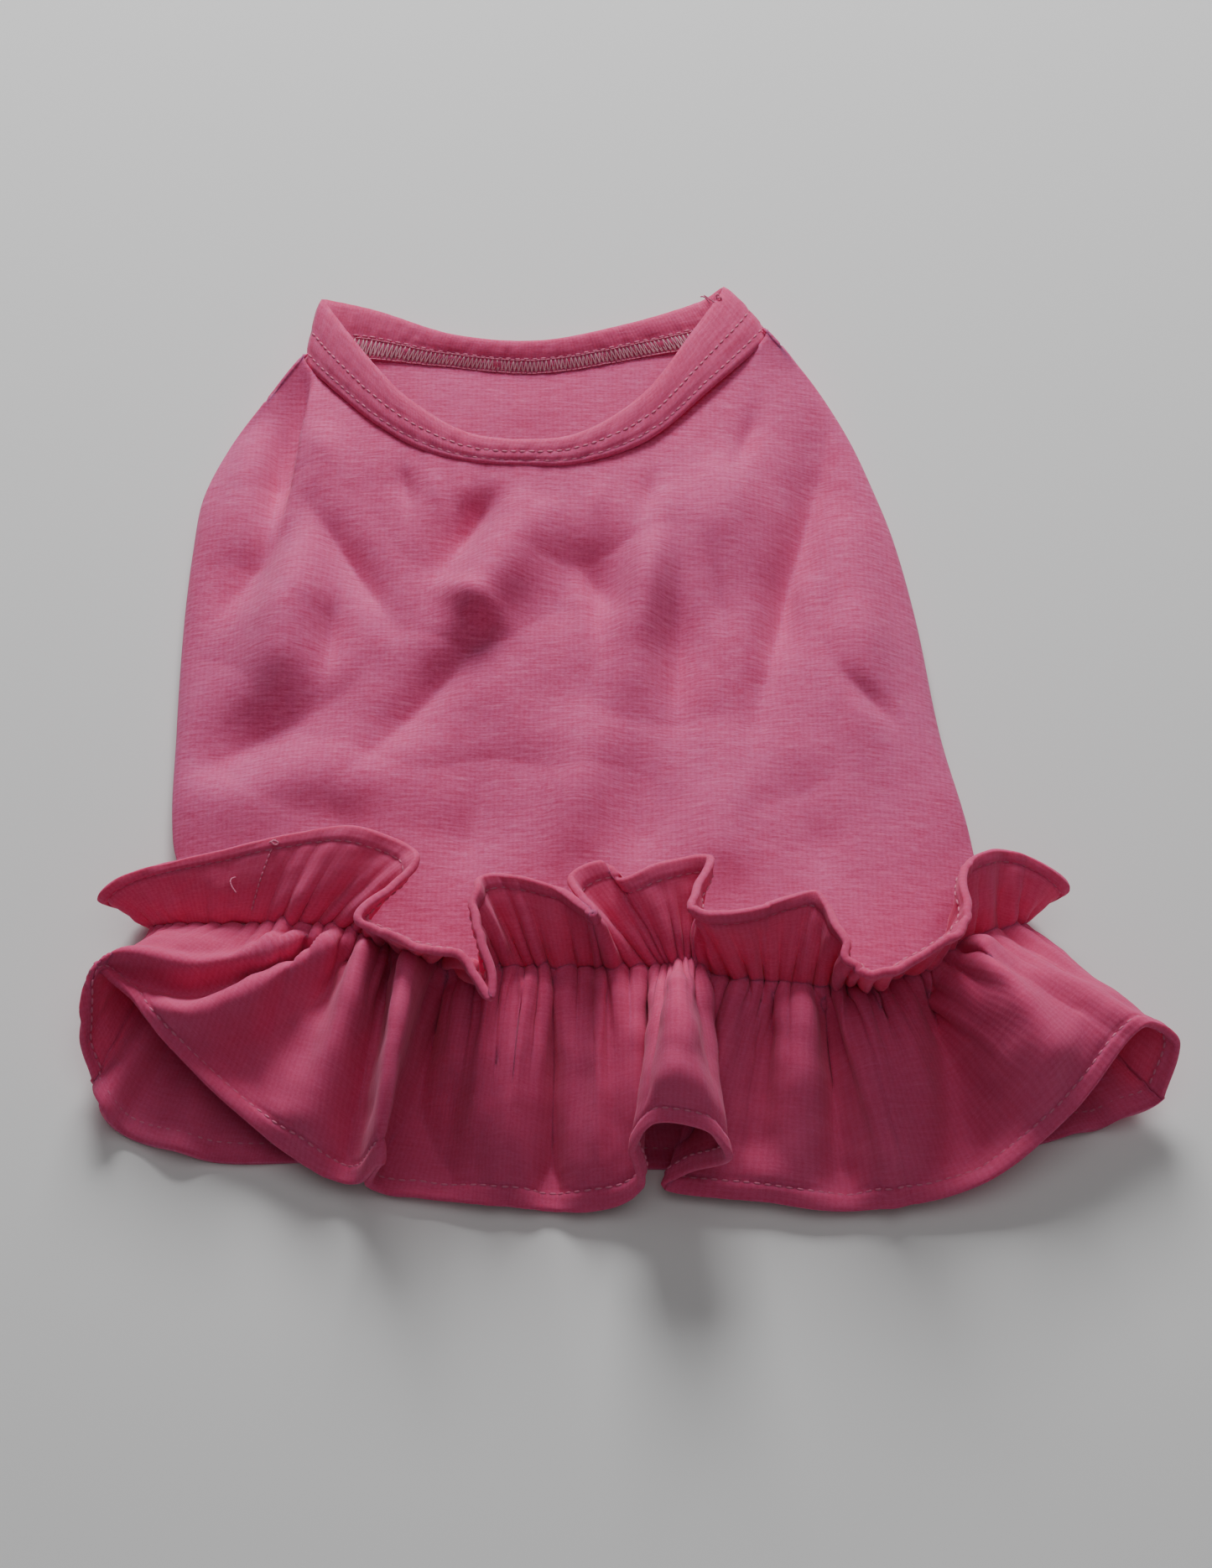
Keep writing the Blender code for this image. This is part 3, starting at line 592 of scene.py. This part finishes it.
def neckBandPlaces():
    u, v = shares(band["columns"], band["rows"])
    seam, free = neckPoint(u, "seam"), neckPoint(u, "free")
    place = seam * (1 - v[..., None]) + free * v[..., None]
    normal = surfaceNormals(place)
    up = np.where(normal[..., 2:3] < 0, -1.0, 1.0) * normal
    groove = sum(np.exp(-(((v - row) / 0.045) ** 2)) for row in band["needles"])
    puff = np.sin(np.pi * v) * band["puff"]
    pucker = softNoise(u * 0.345, v * 0.01, 320.0, 5.0) * band["pucker"]
    return place + up * (puff - groove * band["groove"] + pucker)[..., None]


bandPlaces = neckBandPlaces()
bandThick = np.ones(bandPlaces.shape[:2])
bandThick[:, 0] = 0.55
bandThick[:, -1] = 0.35
bandThick[:, -2] = 0.80
bandPlaces[-1] = bandPlaces[0]
neckBand = clothGrid("neckBand", bandPlaces, band["flat"], band["wall"], joined=True, thick=bandThick)
neckBand.data.materials.append(bandJersey)
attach(neckBand, "root")
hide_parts("neckband")
print("neckband made")

legBand = {"columns": 96, "rows": 8, "width": 0.030, "length": 0.042, "band": 0.0083, "wall": 0.0016}


def legBandPlaces(side):
    u, v = shares(legBand["columns"], legBand["rows"])
    grow = 2 * legBand["band"] * v
    centre = legCentre(side)
    x = centre.x + np.cos(2 * np.pi * u) * (legBand["width"] + grow) / 2
    y = centre.y + np.sin(2 * np.pi * u) * (legBand["length"] + grow) / 2
    groove = np.exp(-(((v - 0.75) / 0.08) ** 2)) * 0.00025
    place = point(x, y, legBand["wall"] / 2 + 0.0001 - groove + 0 * u)
    place[-1] = place[0]
    return place


for side, name, node in (
    (-1, "legBindingLeft", "leg_binding_left"),
    (1, "legBindingRight", "leg_binding_right"),
):
    places = legBandPlaces(side)
    thick = np.ones(places.shape[:2])
    thick[:, 0] = 0.5
    flat = (0.142, 2 * legBand["band"])
    binding = clothGrid(name, places, flat, legBand["wall"], joined=True, thick=thick)
    binding.data.materials.append(bandJersey)
    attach(binding, "root")
    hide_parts(node)
print("leg bindings made")

# the ruffle's edges: plan places, height and how far the cloth arches on the way there
headerRows = table("key x y z arch", [
    (0.000, -1.07, 0.22, 0.11, 0.00),
    (0.020, -1.13, 0.19, 0.32, 0.02),
    (0.050, -1.06, 0.31, 0.45, 0.05),
    (0.100, -0.86, 0.41, 0.58, 0.08),
    (0.150, -0.63, 0.53, 0.69, 0.10),
    (0.185, -0.49, 0.50, 0.75, 0.10),
    (0.215, -0.37, 0.24, 0.82, 0.06),
    (0.240, -0.43, -0.07, 0.91, 0.03),
    (0.262, -0.50, -0.36, 0.98, 0.02),
    (0.285, -0.42, -0.50, 0.93, 0.04),
    (0.320, -0.28, -0.62, 0.93, 0.05),
    (0.350, -0.20, -0.97, 0.93, 0.02),
    (0.380, -0.23, -0.46, 0.97, 0.03),
    (0.408, -0.25, -0.10, 0.92, 0.04),
    (0.430, -0.21, 0.08, 0.84, 0.07),
    (0.465, -0.07, 0.00, 0.83, 0.08),
    (0.500, 0.02, -0.32, 0.96, 0.02),
    (0.530, -0.03, 0.09, 0.80, 0.05),
    (0.552, 0.04, 0.23, 0.76, 0.08),
    (0.572, 0.08, 0.08, 0.78, 0.06),
    (0.600, 0.17, 0.20, 0.78, 0.08),
    (0.635, 0.29, 0.26, 0.78, 0.06),
    (0.672, 0.24, -0.28, 1.00, 0.02),
    (0.710, 0.38, -0.24, 0.91, 0.05),
    (0.745, 0.53, -0.06, 0.84, 0.08),
    (0.780, 0.57, -0.50, 0.98, 0.04),
    (0.810, 0.62, -0.82, 1.00, 0.02),
    (0.860, 0.82, -0.52, 0.98, 0.03),
    (0.885, 0.86, -0.20, 0.89, 0.04),
    (0.912, 0.86, 0.12, 0.78, 0.07),
    (0.940, 0.92, 0.38, 0.66, 0.09),
    (0.965, 1.02, 0.42, 0.54, 0.06),
    (0.985, 1.13, 0.29, 0.34, 0.02),
    (1.000, 1.07, 0.26, 0.11, 0.00),
])
hemRows = table("key x y z arch", [
    (0.000, -0.90, -0.58, 0.14, 0.00),
    (0.030, -0.92, -0.45, 0.27, 0.04),
    (0.080, -0.88, -0.25, 0.54, 0.10),
    (0.140, -0.76, -0.49, 0.41, 0.14),
    (0.190, -0.65, -0.69, 0.28, 0.16),
    (0.240, -0.51, -0.89, 0.14, 0.20),
    (0.280, -0.41, -0.97, 0.17, 0.30),
    (0.303, -0.36, -0.94, 0.32, 0.34),
    (0.322, -0.39, -0.97, 0.11, 0.24),
    (0.370, -0.26, -1.01, 0.09, 0.16),
    (0.440, -0.10, -1.04, 0.08, 0.20),
    (0.490, 0.03, -1.05, 0.09, 0.20),
    (0.520, 0.10, -1.01, 0.22, 0.24),
    (0.553, 0.09, -0.92, 0.54, 0.32),
    (0.580, 0.13, -0.86, 0.70, 0.34),
    (0.612, 0.22, -0.89, 0.69, 0.32),
    (0.636, 0.26, -0.95, 0.50, 0.24),
    (0.662, 0.19, -0.94, 0.22, 0.16),
    (0.685, 0.15, -0.98, 0.11, 0.10),
    (0.730, 0.33, -1.02, 0.09, 0.20),
    (0.775, 0.50, -1.05, 0.08, 0.18),
    (0.835, 0.72, -0.97, 0.17, 0.20),
    (0.885, 0.88, -0.75, 0.36, 0.18),
    (0.940, 1.01, -0.47, 0.54, 0.12),
    (0.970, 1.08, -0.50, 0.40, 0.06),
    (1.000, 1.06, -0.65, 0.14, 0.00),
])
underHemRows = table("key x y z", [
    (0.00, -0.90, -0.60, 0.09),
    (0.05, -0.86, -0.74, 0.04),
    (0.12, -0.70, -0.85, 0.02),
    (0.25, -0.50, -0.86, 0.02),
    (0.50, 0.03, -0.88, 0.02),
    (0.75, 0.58, -0.88, 0.02),
    (0.90, 0.88, -0.77, 0.03),
    (1.00, 1.06, -0.67, 0.09),
])
# long ridges and valleys: strip shares at the stitching and the hem, near and far depth, width, and height
# in metres
fluteRows = [
    (0.215, 0.050, 0.03, 1.00, 0.020, 0.0050),
    (0.223, 0.085, 0.05, 0.95, 0.022, -0.0065),
    (0.232, 0.120, 0.03, 0.90, 0.020, 0.0070),
    (0.243, 0.180, 0.05, 0.90, 0.026, -0.0050),
    (0.255, 0.237, 0.03, 0.95, 0.020, 0.0062),
    (0.278, 0.268, 0.03, 0.95, 0.014, -0.0062),
    (0.300, 0.300, 0.02, 0.98, 0.013, 0.0085),
    (0.338, 0.338, 0.02, 0.92, 0.020, -0.0125),
    (0.36, 0.37, 0.45, 0.95, 0.020, -0.0055),
    (0.385, 0.395, 0.02, 0.75, 0.013, 0.0045),
    (0.425, 0.420, 0.02, 0.85, 0.014, 0.0046),
    (0.455, 0.455, 0.02, 0.95, 0.011, -0.0078),
    (0.490, 0.487, 0.02, 0.90, 0.012, 0.0046),
    (0.53, 0.535, 0.02, 0.85, 0.012, -0.0060),
    (0.595, 0.59, 0.16, 0.85, 0.024, 0.0050),
    (0.655, 0.665, 0.02, 0.80, 0.012, -0.0070),
    (0.69, 0.695, 0.02, 0.60, 0.011, 0.0042),
    (0.72, 0.725, 0.02, 0.80, 0.012, -0.0045),
    (0.740, 0.748, 0.03, 0.60, 0.016, 0.0016),
    (0.770, 0.768, 0.03, 0.90, 0.013, -0.0080),
    (0.805, 0.790, 0.03, 0.90, 0.014, 0.0050),
    (0.880, 0.830, 0.03, 0.90, 0.024, -0.0125),
    (0.930, 0.880, 0.04, 0.85, 0.018, 0.0080),
]
ruffle = {
    "columns": 590, "headerRows": 32, "skirtRows": 50, "flat": (0.370, 0.100),
    "fineHeight": 0.0032, "broadHeight": 0.0029, "jog": 0.0011, "seamDip": 0.0012,
    "wall": 0.0020,  # at the doubled hem
    "plain": 0.48,  # the single cloth's share of that
    "hem": 0.0055, "hemGroove": 0.00060,
    "lowest": 0.0024,  # the strip's middle stays this high
}


def valleyMarks(count, seed, wander):
    # uneven places along the strip where the cloth is drawn in
    draw = random.Random(seed)
    inner = [(k + draw.uniform(-wander, wander)) / count for k in range(1, count)]
    return np.array([0.0] + inner + [1.0]), np.array([draw.uniform(0.45, 1.3) for _ in range(count)])


def drawnFolds(g, t, marks, strengths, reach, lean):
    # folds between the valleys, sharp at the stitching and softer further out
    phase = np.interp(g - lean * t, marks, np.arange(len(marks)))
    cell = np.clip(phase.astype(int), 0, len(strengths) - 1)
    crest = np.abs(np.sin(np.pi * phase)) ** (0.6 + 1.5 * t)
    ownReach = reach * (0.55 + 0.75 * np.roll(strengths, 3)[cell])
    return strengths[cell] * (crest - 0.45 * ease(t * 6 + 0.2)) * np.exp(-((t / ownReach) ** 2))


fineMarks, fineStrengths = valleyMarks(62, 12, 0.33)
broadMarks, broadStrengths = valleyMarks(21, 31, 0.35)


def gatherHeight(g, t, run, isSkirt):
    fine = drawnFolds(g, t, fineMarks, fineStrengths, np.where(isSkirt, 0.24, 0.50), 0.0)
    broad = drawnFolds(g, t, broadMarks, broadStrengths, np.where(isSkirt, 0.55, 0.85), 0.006)
    near, wide = 0.60 + 0.40 * ease(run / 0.004), 0.25 + 0.75 * ease(run / 0.014)
    return fine * ruffle["fineHeight"] * near + broad * ruffle["broadHeight"] * wide


def waistPoint(g):
    x = read(waistRows, "x", g) * sizes["waistWidth"] / 2
    return point(x, waistY(g), read(waistRows, "z", g) * sizes["waistRise"])


def bow(start, end, rise, t):
    lift = point(0 * rise, 0 * rise, rise)
    first = start * 0.78 + end * 0.22 + lift
    second = start * 0.30 + end * 0.70 + lift * 0.8
    t = t[..., None]
    r = 1 - t
    return start * r**3 + first * 3 * t * r**2 + second * 3 * t * t * r + end * t**3


def edgePoint(rows, g, across, depth):
    x, y, z = (read(rows, axis, g) for axis in "xyz")
    return point(x * across, y * depth, z * sizes["ruffleRise"])


def headerPoint(g, t):
    edge = edgePoint(headerRows, g, sizes["waistWidth"] / 2, sizes["headerDepth"])
    return bow(waistPoint(g), edge, read(headerRows, "arch", g) * sizes["ruffleRise"], t)


def skirtPoint(g, t):
    edge = edgePoint(hemRows, g, sizes["skirtSpread"] / 2, sizes["skirtDepth"])
    place = bow(waistPoint(g), edge, read(hemRows, "arch", g) * sizes["ruffleRise"], t)
    for start, end, near, far, width, height in fluteRows:
        reach = ease((t - near) * 8) * ease((far - t) * 5 + 0.5)
        spread = width * (0.40 + 0.80 * t)
        place[..., 2] += height * reach * np.exp(-(((g - mix(start, end, t)) / spread) ** 2))
    return place


def stripPlaces(g, v, stitching):
    header = np.clip(1 - v / stitching, 0, 1)
    skirt = np.clip((v - stitching) / (1 - stitching), 0, 1)
    up = v <= stitching
    place = np.where(up[..., None], headerPoint(g, header), skirtPoint(g, skirt))
    return place, np.where(up, header, skirt), up


def stripRowShares(headerRows, skirtRows):
    # rows crowd towards the hemmed edges and the stitching
    stitching = headerRows / (headerRows + skirtRows)
    even = lambda rows: np.linspace(0, 1, rows + 1)
    crowd = lambda rows: mix(even(rows), 0.5 - 0.5 * np.cos(np.pi * even(rows)), 0.75)
    header, skirt = crowd(headerRows) * stitching, stitching + crowd(skirtRows) * (1 - stitching)
    return np.concatenate([header, skirt[1:]]), stitching


def upperStripPlaces():
    rows, stitching = stripRowShares(ruffle["headerRows"], ruffle["skirtRows"])
    g, v = np.meshgrid(np.linspace(0, 1, ruffle["columns"] + 1), rows, indexing="ij")
    place, depth, up = stripPlaces(g, v, stitching)
    normal = surfaceNormals(place)
    outward = normal * np.sign(normal[normal.shape[0] // 2, -12, 2])
    length = np.where(up, sizes["headerDepth"], sizes["skirtDepth"])
    fromEdge, run = (1 - depth) * length, depth * length
    calm = ease(np.minimum(g, 1 - g) / 0.03)
    lift = gatherHeight(g, depth, run, ~up) * calm * (0.25 + 0.75 * ease((g - 0.12) / 0.06))
    jog = drawnFolds(g, 0 * g, fineMarks, np.roll(fineStrengths, 7), 1.0, 0.0)
    jog = jog * np.exp(-((run / 0.004) ** 2)) * calm
    place[..., 1] += jog * ruffle["jog"]
    seamDip = np.exp(-((run / 0.0016) ** 2)) * ruffle["seamDip"] * calm
    groove = np.exp(-(((fromEdge - ruffle["hem"]) / 0.0007) ** 2)) * ruffle["hemGroove"]
    crinkle = softNoise(g * 0.43, v * 0.1, 95.0, 9.0) * 0.0007 * ease(depth * 3)
    crinkle = crinkle + softNoise(g * 0.43, v * 0.1, 220.0, 2.0) * 0.00025
    place = place + outward * (lift - seamDip - groove + crinkle)[..., None]
    place[..., 2] = np.maximum(place[..., 2], ruffle["lowest"])
    thick = mix(ruffle["plain"], 1.0, ease((ruffle["hem"] - fromEdge) / 0.0004 + 0.5))
    bead = np.exp(-(((fromEdge - 0.0012) / 0.0009) ** 2)) * 0.16  # the rolled edge, and a dip behind it
    bead = bead - np.exp(-(((fromEdge - 0.0031) / 0.0009) ** 2)) * 0.07
    edgeRound = ease(fromEdge / 0.0010 + 0.30)
    return place, (thick + bead) * np.maximum(edgeRound, 0.4)


stripPlace, stripThick = upperStripPlaces()
stripRows, stitching = stripRowShares(ruffle["headerRows"], ruffle["skirtRows"])
ruffleUpper = clothGrid(
    "ruffleUpper", stripPlace, ruffle["flat"], ruffle["wall"], thick=stripThick, along=stripRows
)
ruffleUpper.data.materials.append(ruffleJersey)
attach(ruffleUpper, "root")
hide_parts("ruffle_upper")
print("upper length of the ruffle made")

underStrip = {
    "columns": 260, "headerRows": 10, "skirtRows": 26, "flat": (0.330, 0.078), "headerShare": 0.5,
    "endReach": 0.045,  # share of the strip in which it rises to meet the upper length
    "low": 0.0011,
}
# folds at the ends: strip shares at the stitching and the hem, width, height in metres
underFolds = [
    (0.050, 0.035, 0.014, 0.0075),
    (0.095, 0.100, 0.018, 0.0030),
    (0.955, 0.960, 0.014, 0.0040),
    (0.905, 0.915, 0.018, 0.0024),
]


def underStripPlaces():
    g, v = shares(underStrip["columns"], underStrip["headerRows"] + underStrip["skirtRows"])
    stitching = underStrip["headerRows"] / (underStrip["headerRows"] + underStrip["skirtRows"])
    half = sizes["waistWidth"] / 2 * 0.975
    low = underStrip["low"]
    waist = point(mix(-half, half, g), 0.0, low)
    header = waist + np.array([0.0, sizes["headerDepth"] * underStrip["headerShare"], 0.0])
    hemX = read(underHemRows, "x", g) * sizes["skirtSpread"] / 2
    hemY = read(underHemRows, "y", g) * sizes["skirtDepth"]
    hem = point(hemX, hemY, low)
    down = np.clip((v - stitching) / (1 - stitching), 0, 1)[..., None]
    back = np.clip(1 - v / stitching, 0, 1)[..., None]
    flat = np.where((v <= stitching)[..., None], mix(waist, header, back), mix(waist, hem, down))
    end = np.where(g < 0.5, 0.0, 1.0)
    meeting, depth, up = stripPlaces(end, v, stitching)
    meeting[..., 2] = np.maximum(meeting[..., 2], low)
    place = mix(meeting, flat, ease(np.minimum(g, 1 - g) / underStrip["endReach"])[..., None])
    length = np.where(v <= stitching, sizes["headerDepth"] * underStrip["headerShare"], sizes["skirtDepth"])
    fromEdge = (1 - depth) * length
    for start, finish, width, height in underFolds:
        fold = np.exp(-(((g - mix(start, finish, down[..., 0])) / width) ** 2))
        place[..., 2] += height * fold * ease(down[..., 0] * 3 - 0.6)
    ripple = softNoise(g * 0.33, v * 0.08, 60.0, 4.0) * 0.5 + 0.5
    place[..., 2] += ripple * 0.0006 * ease(down[..., 0] * 3)
    thick = mix(0.48, 1.0, ease((ruffle["hem"] - fromEdge) / 0.0004 + 0.5))
    return place, thick


underPlace, underThick = underStripPlaces()
ruffleUnder = clothGrid("ruffleUnder", underPlace, underStrip["flat"], ruffle["wall"], thick=underThick)
ruffleUnder.data.materials.append(ruffleJersey)
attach(ruffleUnder, "root")
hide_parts("ruffle_under")
print("underlying length of the ruffle made")

stitch = {
    "radius": 0.00033, "length": 0.0018, "gap": 0.0008,
    "lap": 0.56,  # half a thread's drawn length, a little over a half so that neighbours meet
    "flatness": 0.9,
}


def threadEnd(work, middle, forward, up, radius, reach, flatness):
    # one small spindle of thread, lying along forward
    side = up.cross(forward).normalized()
    turn = Matrix((side, forward, side.cross(forward))).transposed().to_4x4()
    shape = Matrix.Diagonal((radius, reach * stitch["lap"], radius * flatness, 1.0))
    place = Matrix.Translation(middle) @ turn @ shape
    bmesh.ops.create_uvsphere(work, u_segments=6, v_segments=5, radius=1.0, matrix=place)


def threadPiece(work, name, material):
    for face in work.faces:
        face.smooth = True
    bmesh.ops.recalc_face_normals(work, faces=work.faces)
    mesh = bpy.data.meshes.new(name)
    work.to_mesh(mesh)
    work.free()
    piece = bpy.data.objects.new(name, mesh)
    bpy.context.scene.collection.objects.link(piece)
    piece.data.materials.append(material)
    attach(piece, "root")


def stitchRow(name, places, normals, wall, length=None, gap=None, radius=None):
    # small drawn-in threads at even steps along a line that lies on a cloth's face
    length, gap, radius = length or stitch["length"], gap or stitch["gap"], radius or stitch["radius"]
    steps = np.linalg.norm(np.diff(places, axis=0), axis=1)
    run = np.concatenate([[0], np.cumsum(steps)])
    count = int(run[-1] / (length + gap))
    work = bmesh.new()
    for k in range(count):
        start = k * (length + gap) + gap / 2
        at = lambda s, rows: np.array([np.interp(s, run, rows[:, a]) for a in range(3)])
        ends = [at(start, places), at(start + length, places)]
        up = Vector(at(start + length / 2, normals)).normalized()
        middle = Vector((ends[0] + ends[1]) / 2) + up * (wall / 2) + carry
        forward = Vector(ends[1] - ends[0])
        if forward.length < 1e-6:
            continue
        forward.normalize()
        threadEnd(work, middle, forward, up, radius, length, stitch["flatness"])
    threadPiece(work, name, pinkThread)


def rowAt(places, position, facing):
    # a line between two rows of a grid, with the grid's normals turned to the wanted face
    low = int(position)
    rest = position - low
    normals = surfaceNormals(places)
    high = min(low + 1, places.shape[1] - 1)
    return places[:, low] * (1 - rest) + places[:, high] * rest, (
        normals[:, low] * (1 - rest) + normals[:, high] * rest) * facing


def rowPosition(rows, share):
    return float(np.interp(share, rows, np.arange(len(rows))))


hemShare = ruffle["hem"] / sizes["skirtDepth"]
skirtRow = rowPosition(stripRows, 1 - hemShare * (1 - stitching))
headerRow = rowPosition(stripRows, ruffle["hem"] / sizes["headerDepth"] * stitching)
facing = 1.0 if surfaceNormals(stripPlace)[ruffle["columns"] // 2, -ruffle["skirtRows"] // 2][2] > 0 else -1.0
for name, row, side in (
    ("skirtStitches", skirtRow, facing),
    ("skirtStitchesInside", skirtRow, -facing),
    ("headerStitches", headerRow, facing),
    ("headerStitchesInside", headerRow, -facing),
):
    line, normals = rowAt(stripPlace, row, side)
    stitchRow(name, line, normals, 0.0015)
line, normals = rowAt(stripPlace, rowPosition(stripRows, stitching), facing)
up = np.tile(np.array([0.0, 0.0, 1.0]), (len(line), 1))
stitchRow("gatherStitches", line, normals * 0.5 + up * 0.5, 0.0012, length=0.0019, gap=0.0009, radius=0.00030)
underRows = underStrip["headerRows"] + underStrip["skirtRows"]
underRow = underRows - hemShare * underStrip["skirtRows"]
line, normals = rowAt(underPlace, underRow, 1.0)
stitchRow("underStitches", line, normals * np.sign(normals[:, 2:3] + 1e-9), 0.0015)
for k, share in enumerate(band["needles"]):
    line, normals = rowAt(bandPlaces, share * band["rows"], 1.0)
    normals = normals * np.sign(normals[:, 2:3] + 1e-9)
    stitchRow(
        f"bandStitches{k + 1}", line, normals, 0.0020, length=0.0017, gap=0.0007, radius=0.00030,
    )


def crossThreads(name, first, second, normals, wall, step, radius):
    # threads that zigzag between two lines
    run = np.concatenate([[0], np.cumsum(np.linalg.norm(np.diff(first, axis=0), axis=1))])
    stops = np.arange(0, run[-1], step)
    lower = np.stack([np.interp(stops, run, first[:, a]) for a in range(3)], axis=1)
    upper = np.stack([np.interp(stops + step * 0.5, run, second[:, a]) for a in range(3)], axis=1)
    ups = np.stack([np.interp(stops, run, normals[:, a]) for a in range(3)], axis=1)
    lines = [np.array([lower[k], upper[k], lower[k + 1]]) for k in range(len(stops) - 1)]
    work = bmesh.new()
    for k, line in enumerate(lines):
        up = Vector(ups[k]).normalized()
        for start, end in ((line[0], line[1]), (line[1], line[2])):
            forward = Vector(end - start)
            reach = forward.length
            forward.normalize()
            middle = Vector((start + end) / 2) + up * (wall / 2) + carry
            threadEnd(work, middle, forward, up, radius, reach, 1.0)
    threadPiece(work, name, paleThread)


backPart = slice(int(0.545 * band["columns"]), int(0.955 * band["columns"]))
lowLine, lineNormals = rowAt(bandPlaces, 0.05 * band["rows"], 1.0)
highLine, lineNormals = rowAt(bandPlaces, 0.42 * band["rows"], 1.0)
lineNormals = lineNormals * np.sign(lineNormals[:, 2:3] + 1e-9)
crossThreads(
    "coverThreads", lowLine[backPart], highLine[backPart], lineNormals[backPart], 0.0020, 0.0012, 0.00021,
)
for name, line in (("coverEdgeLow", lowLine), ("coverEdgeHigh", highLine)):
    stitchRow(
        name, line[backPart], lineNormals[backPart], 0.0021, length=0.0016, gap=-0.0002, radius=0.00021,
    )


def looseThread(name, points, radius):
    # a soft thread through a few points
    knots = np.array(points)
    keys = np.linspace(0, 1, len(knots))
    rows = {"key": keys, "x": knots[:, 0], "y": knots[:, 1], "z": knots[:, 2]}
    at = np.linspace(0, 1, 60)
    line = point(read(rows, "x", at), read(rows, "y", at), read(rows, "z", at))
    ups = np.tile(np.array([0.0, 0.1, 1.0]), (len(line), 1))
    stitchRow(name, line, ups, 0.0, length=0.0011, gap=-0.0004, radius=radius)


# the neckband's join at the right corner, with the ends of its overlock threads
corner = 0.5 * (bandPlaces[int(0.478 * band["columns"]), -1] + bandPlaces[int(0.49 * band["columns"]), -1])
draw = random.Random(5)
scatter = lambda *spans: np.array([draw.uniform(low, high) for low, high in spans])
for k in range(4):
    start = corner + np.array([draw.uniform(-0.0016, 0.0016), draw.uniform(-0.0014, 0.0008), 0.0002])
    bend = start + scatter((-0.0022, 0.0006), (0.0002, 0.0014), (0.0005, 0.0014))
    tip = bend + scatter((-0.0020, 0.0012), (-0.0014, 0.0010), (-0.0010, 0.0004))
    looseThread(f"joinThread{k + 1}", [start, bend, tip], 0.00022)

# the ruffle's join on the left of the header, with a knot and a loose end
joinColumn = int(0.135 * ruffle["columns"])
edgeRow = stripPlace[joinColumn, 0 : ruffle["headerRows"] - 6]
up = np.tile(np.array([0.0, -0.5, 1.0]), (len(edgeRow), 1))
stitchRow("joinSeam", edgeRow, up, 0.0016, length=0.0014, gap=0.0002, radius=0.00026)
knot = stripPlace[joinColumn, 5] + np.array([0.0, -0.0008, 0.0012])
turns = ((-1.2, 0, 0), (0, 0.5, 0.6), (1.2, 0, 0), (0.2, -0.7, 0.2), (-0.8, 0.3, 0.7), (0.9, 0.6, 0.2))
looseThread("joinKnot", [knot + np.array(p) * 0.001 for p in turns], 0.00030)
end = stripPlace[int(0.118 * ruffle["columns"]), 14] + np.array([0.0, -0.0006, 0.0010])
looseThread("looseEnd", [
    end, end + np.array([-0.0012, -0.0010, 0.0008]), end + np.array([-0.0006, -0.0030, 0.0008]),
    end + np.array([0.0006, -0.0046, 0.0004])], 0.00022)
print("stitches made")


def floorPlane():
    work = bmesh.new()
    bmesh.ops.create_grid(work, x_segments=1, y_segments=1, size=3.0)
    mesh = bpy.data.meshes.new("floor")
    work.to_mesh(mesh)
    work.free()
    plane = bpy.data.objects.new("floor", mesh)
    bpy.context.scene.collection.objects.link(plane)
    material = bpy.data.materials.new("paleFloor")
    material.use_nodes = True
    shader = material.node_tree.nodes["Principled BSDF"]
    shader.inputs["Base Color"].default_value = (0.86, 0.86, 0.86, 1.0)
    shader.inputs["Roughness"].default_value = 0.9
    plane.data.materials.append(material)


def softLight(name, place, size, energy):
    light = bpy.data.lights.new(name, "AREA")
    light.energy, light.size = energy, size
    lamp = bpy.data.objects.new(name, light)
    lamp.location = place
    lamp.rotation_euler = Vector(place).to_track_quat("Z", "Y").to_euler()  # turned to the floor's middle
    bpy.context.scene.collection.objects.link(lamp)


# place, size across and energy of each lamp
lamps = {
    "window": ((-0.06, 0.98, 0.68), 0.50, 14.5),
    "room": ((0.1, -0.9, 0.8), 1.4, 1.0),
    "ceiling": ((0.1, 0.1, 1.4), 1.1, 3.8),
}
worldLight = 0.035
view = {"elevation": 65.0, "distance": 0.75, "lens": 66.4, "target": (0.0055, 0.044, 0.0)}
floorPlane()
for name, (place, size, energy) in lamps.items():
    softLight(name, place, size, energy)
world = bpy.data.worlds.new("studio")
world.use_nodes = True
world.node_tree.nodes["Background"].inputs[0].default_value = (1.0, 1.0, 1.0, 1.0)
world.node_tree.nodes["Background"].inputs[1].default_value = worldLight
bpy.context.scene.world = world
camera = bpy.data.objects.new("camera", bpy.data.cameras.new("camera"))
bpy.context.scene.collection.objects.link(camera)
camera.data.sensor_fit = "VERTICAL"
camera.data.sensor_height = 36.0
camera.data.lens = view["lens"]
lean = math.radians(view["elevation"])
back = Vector((0.0, -math.cos(lean), math.sin(lean)))
camera.location = Vector(view["target"]) + carry + back * view["distance"]
camera.rotation_euler = back.to_track_quat("Z", "Y").to_euler()
bpy.context.scene.camera = camera
print("floor, light and camera made")
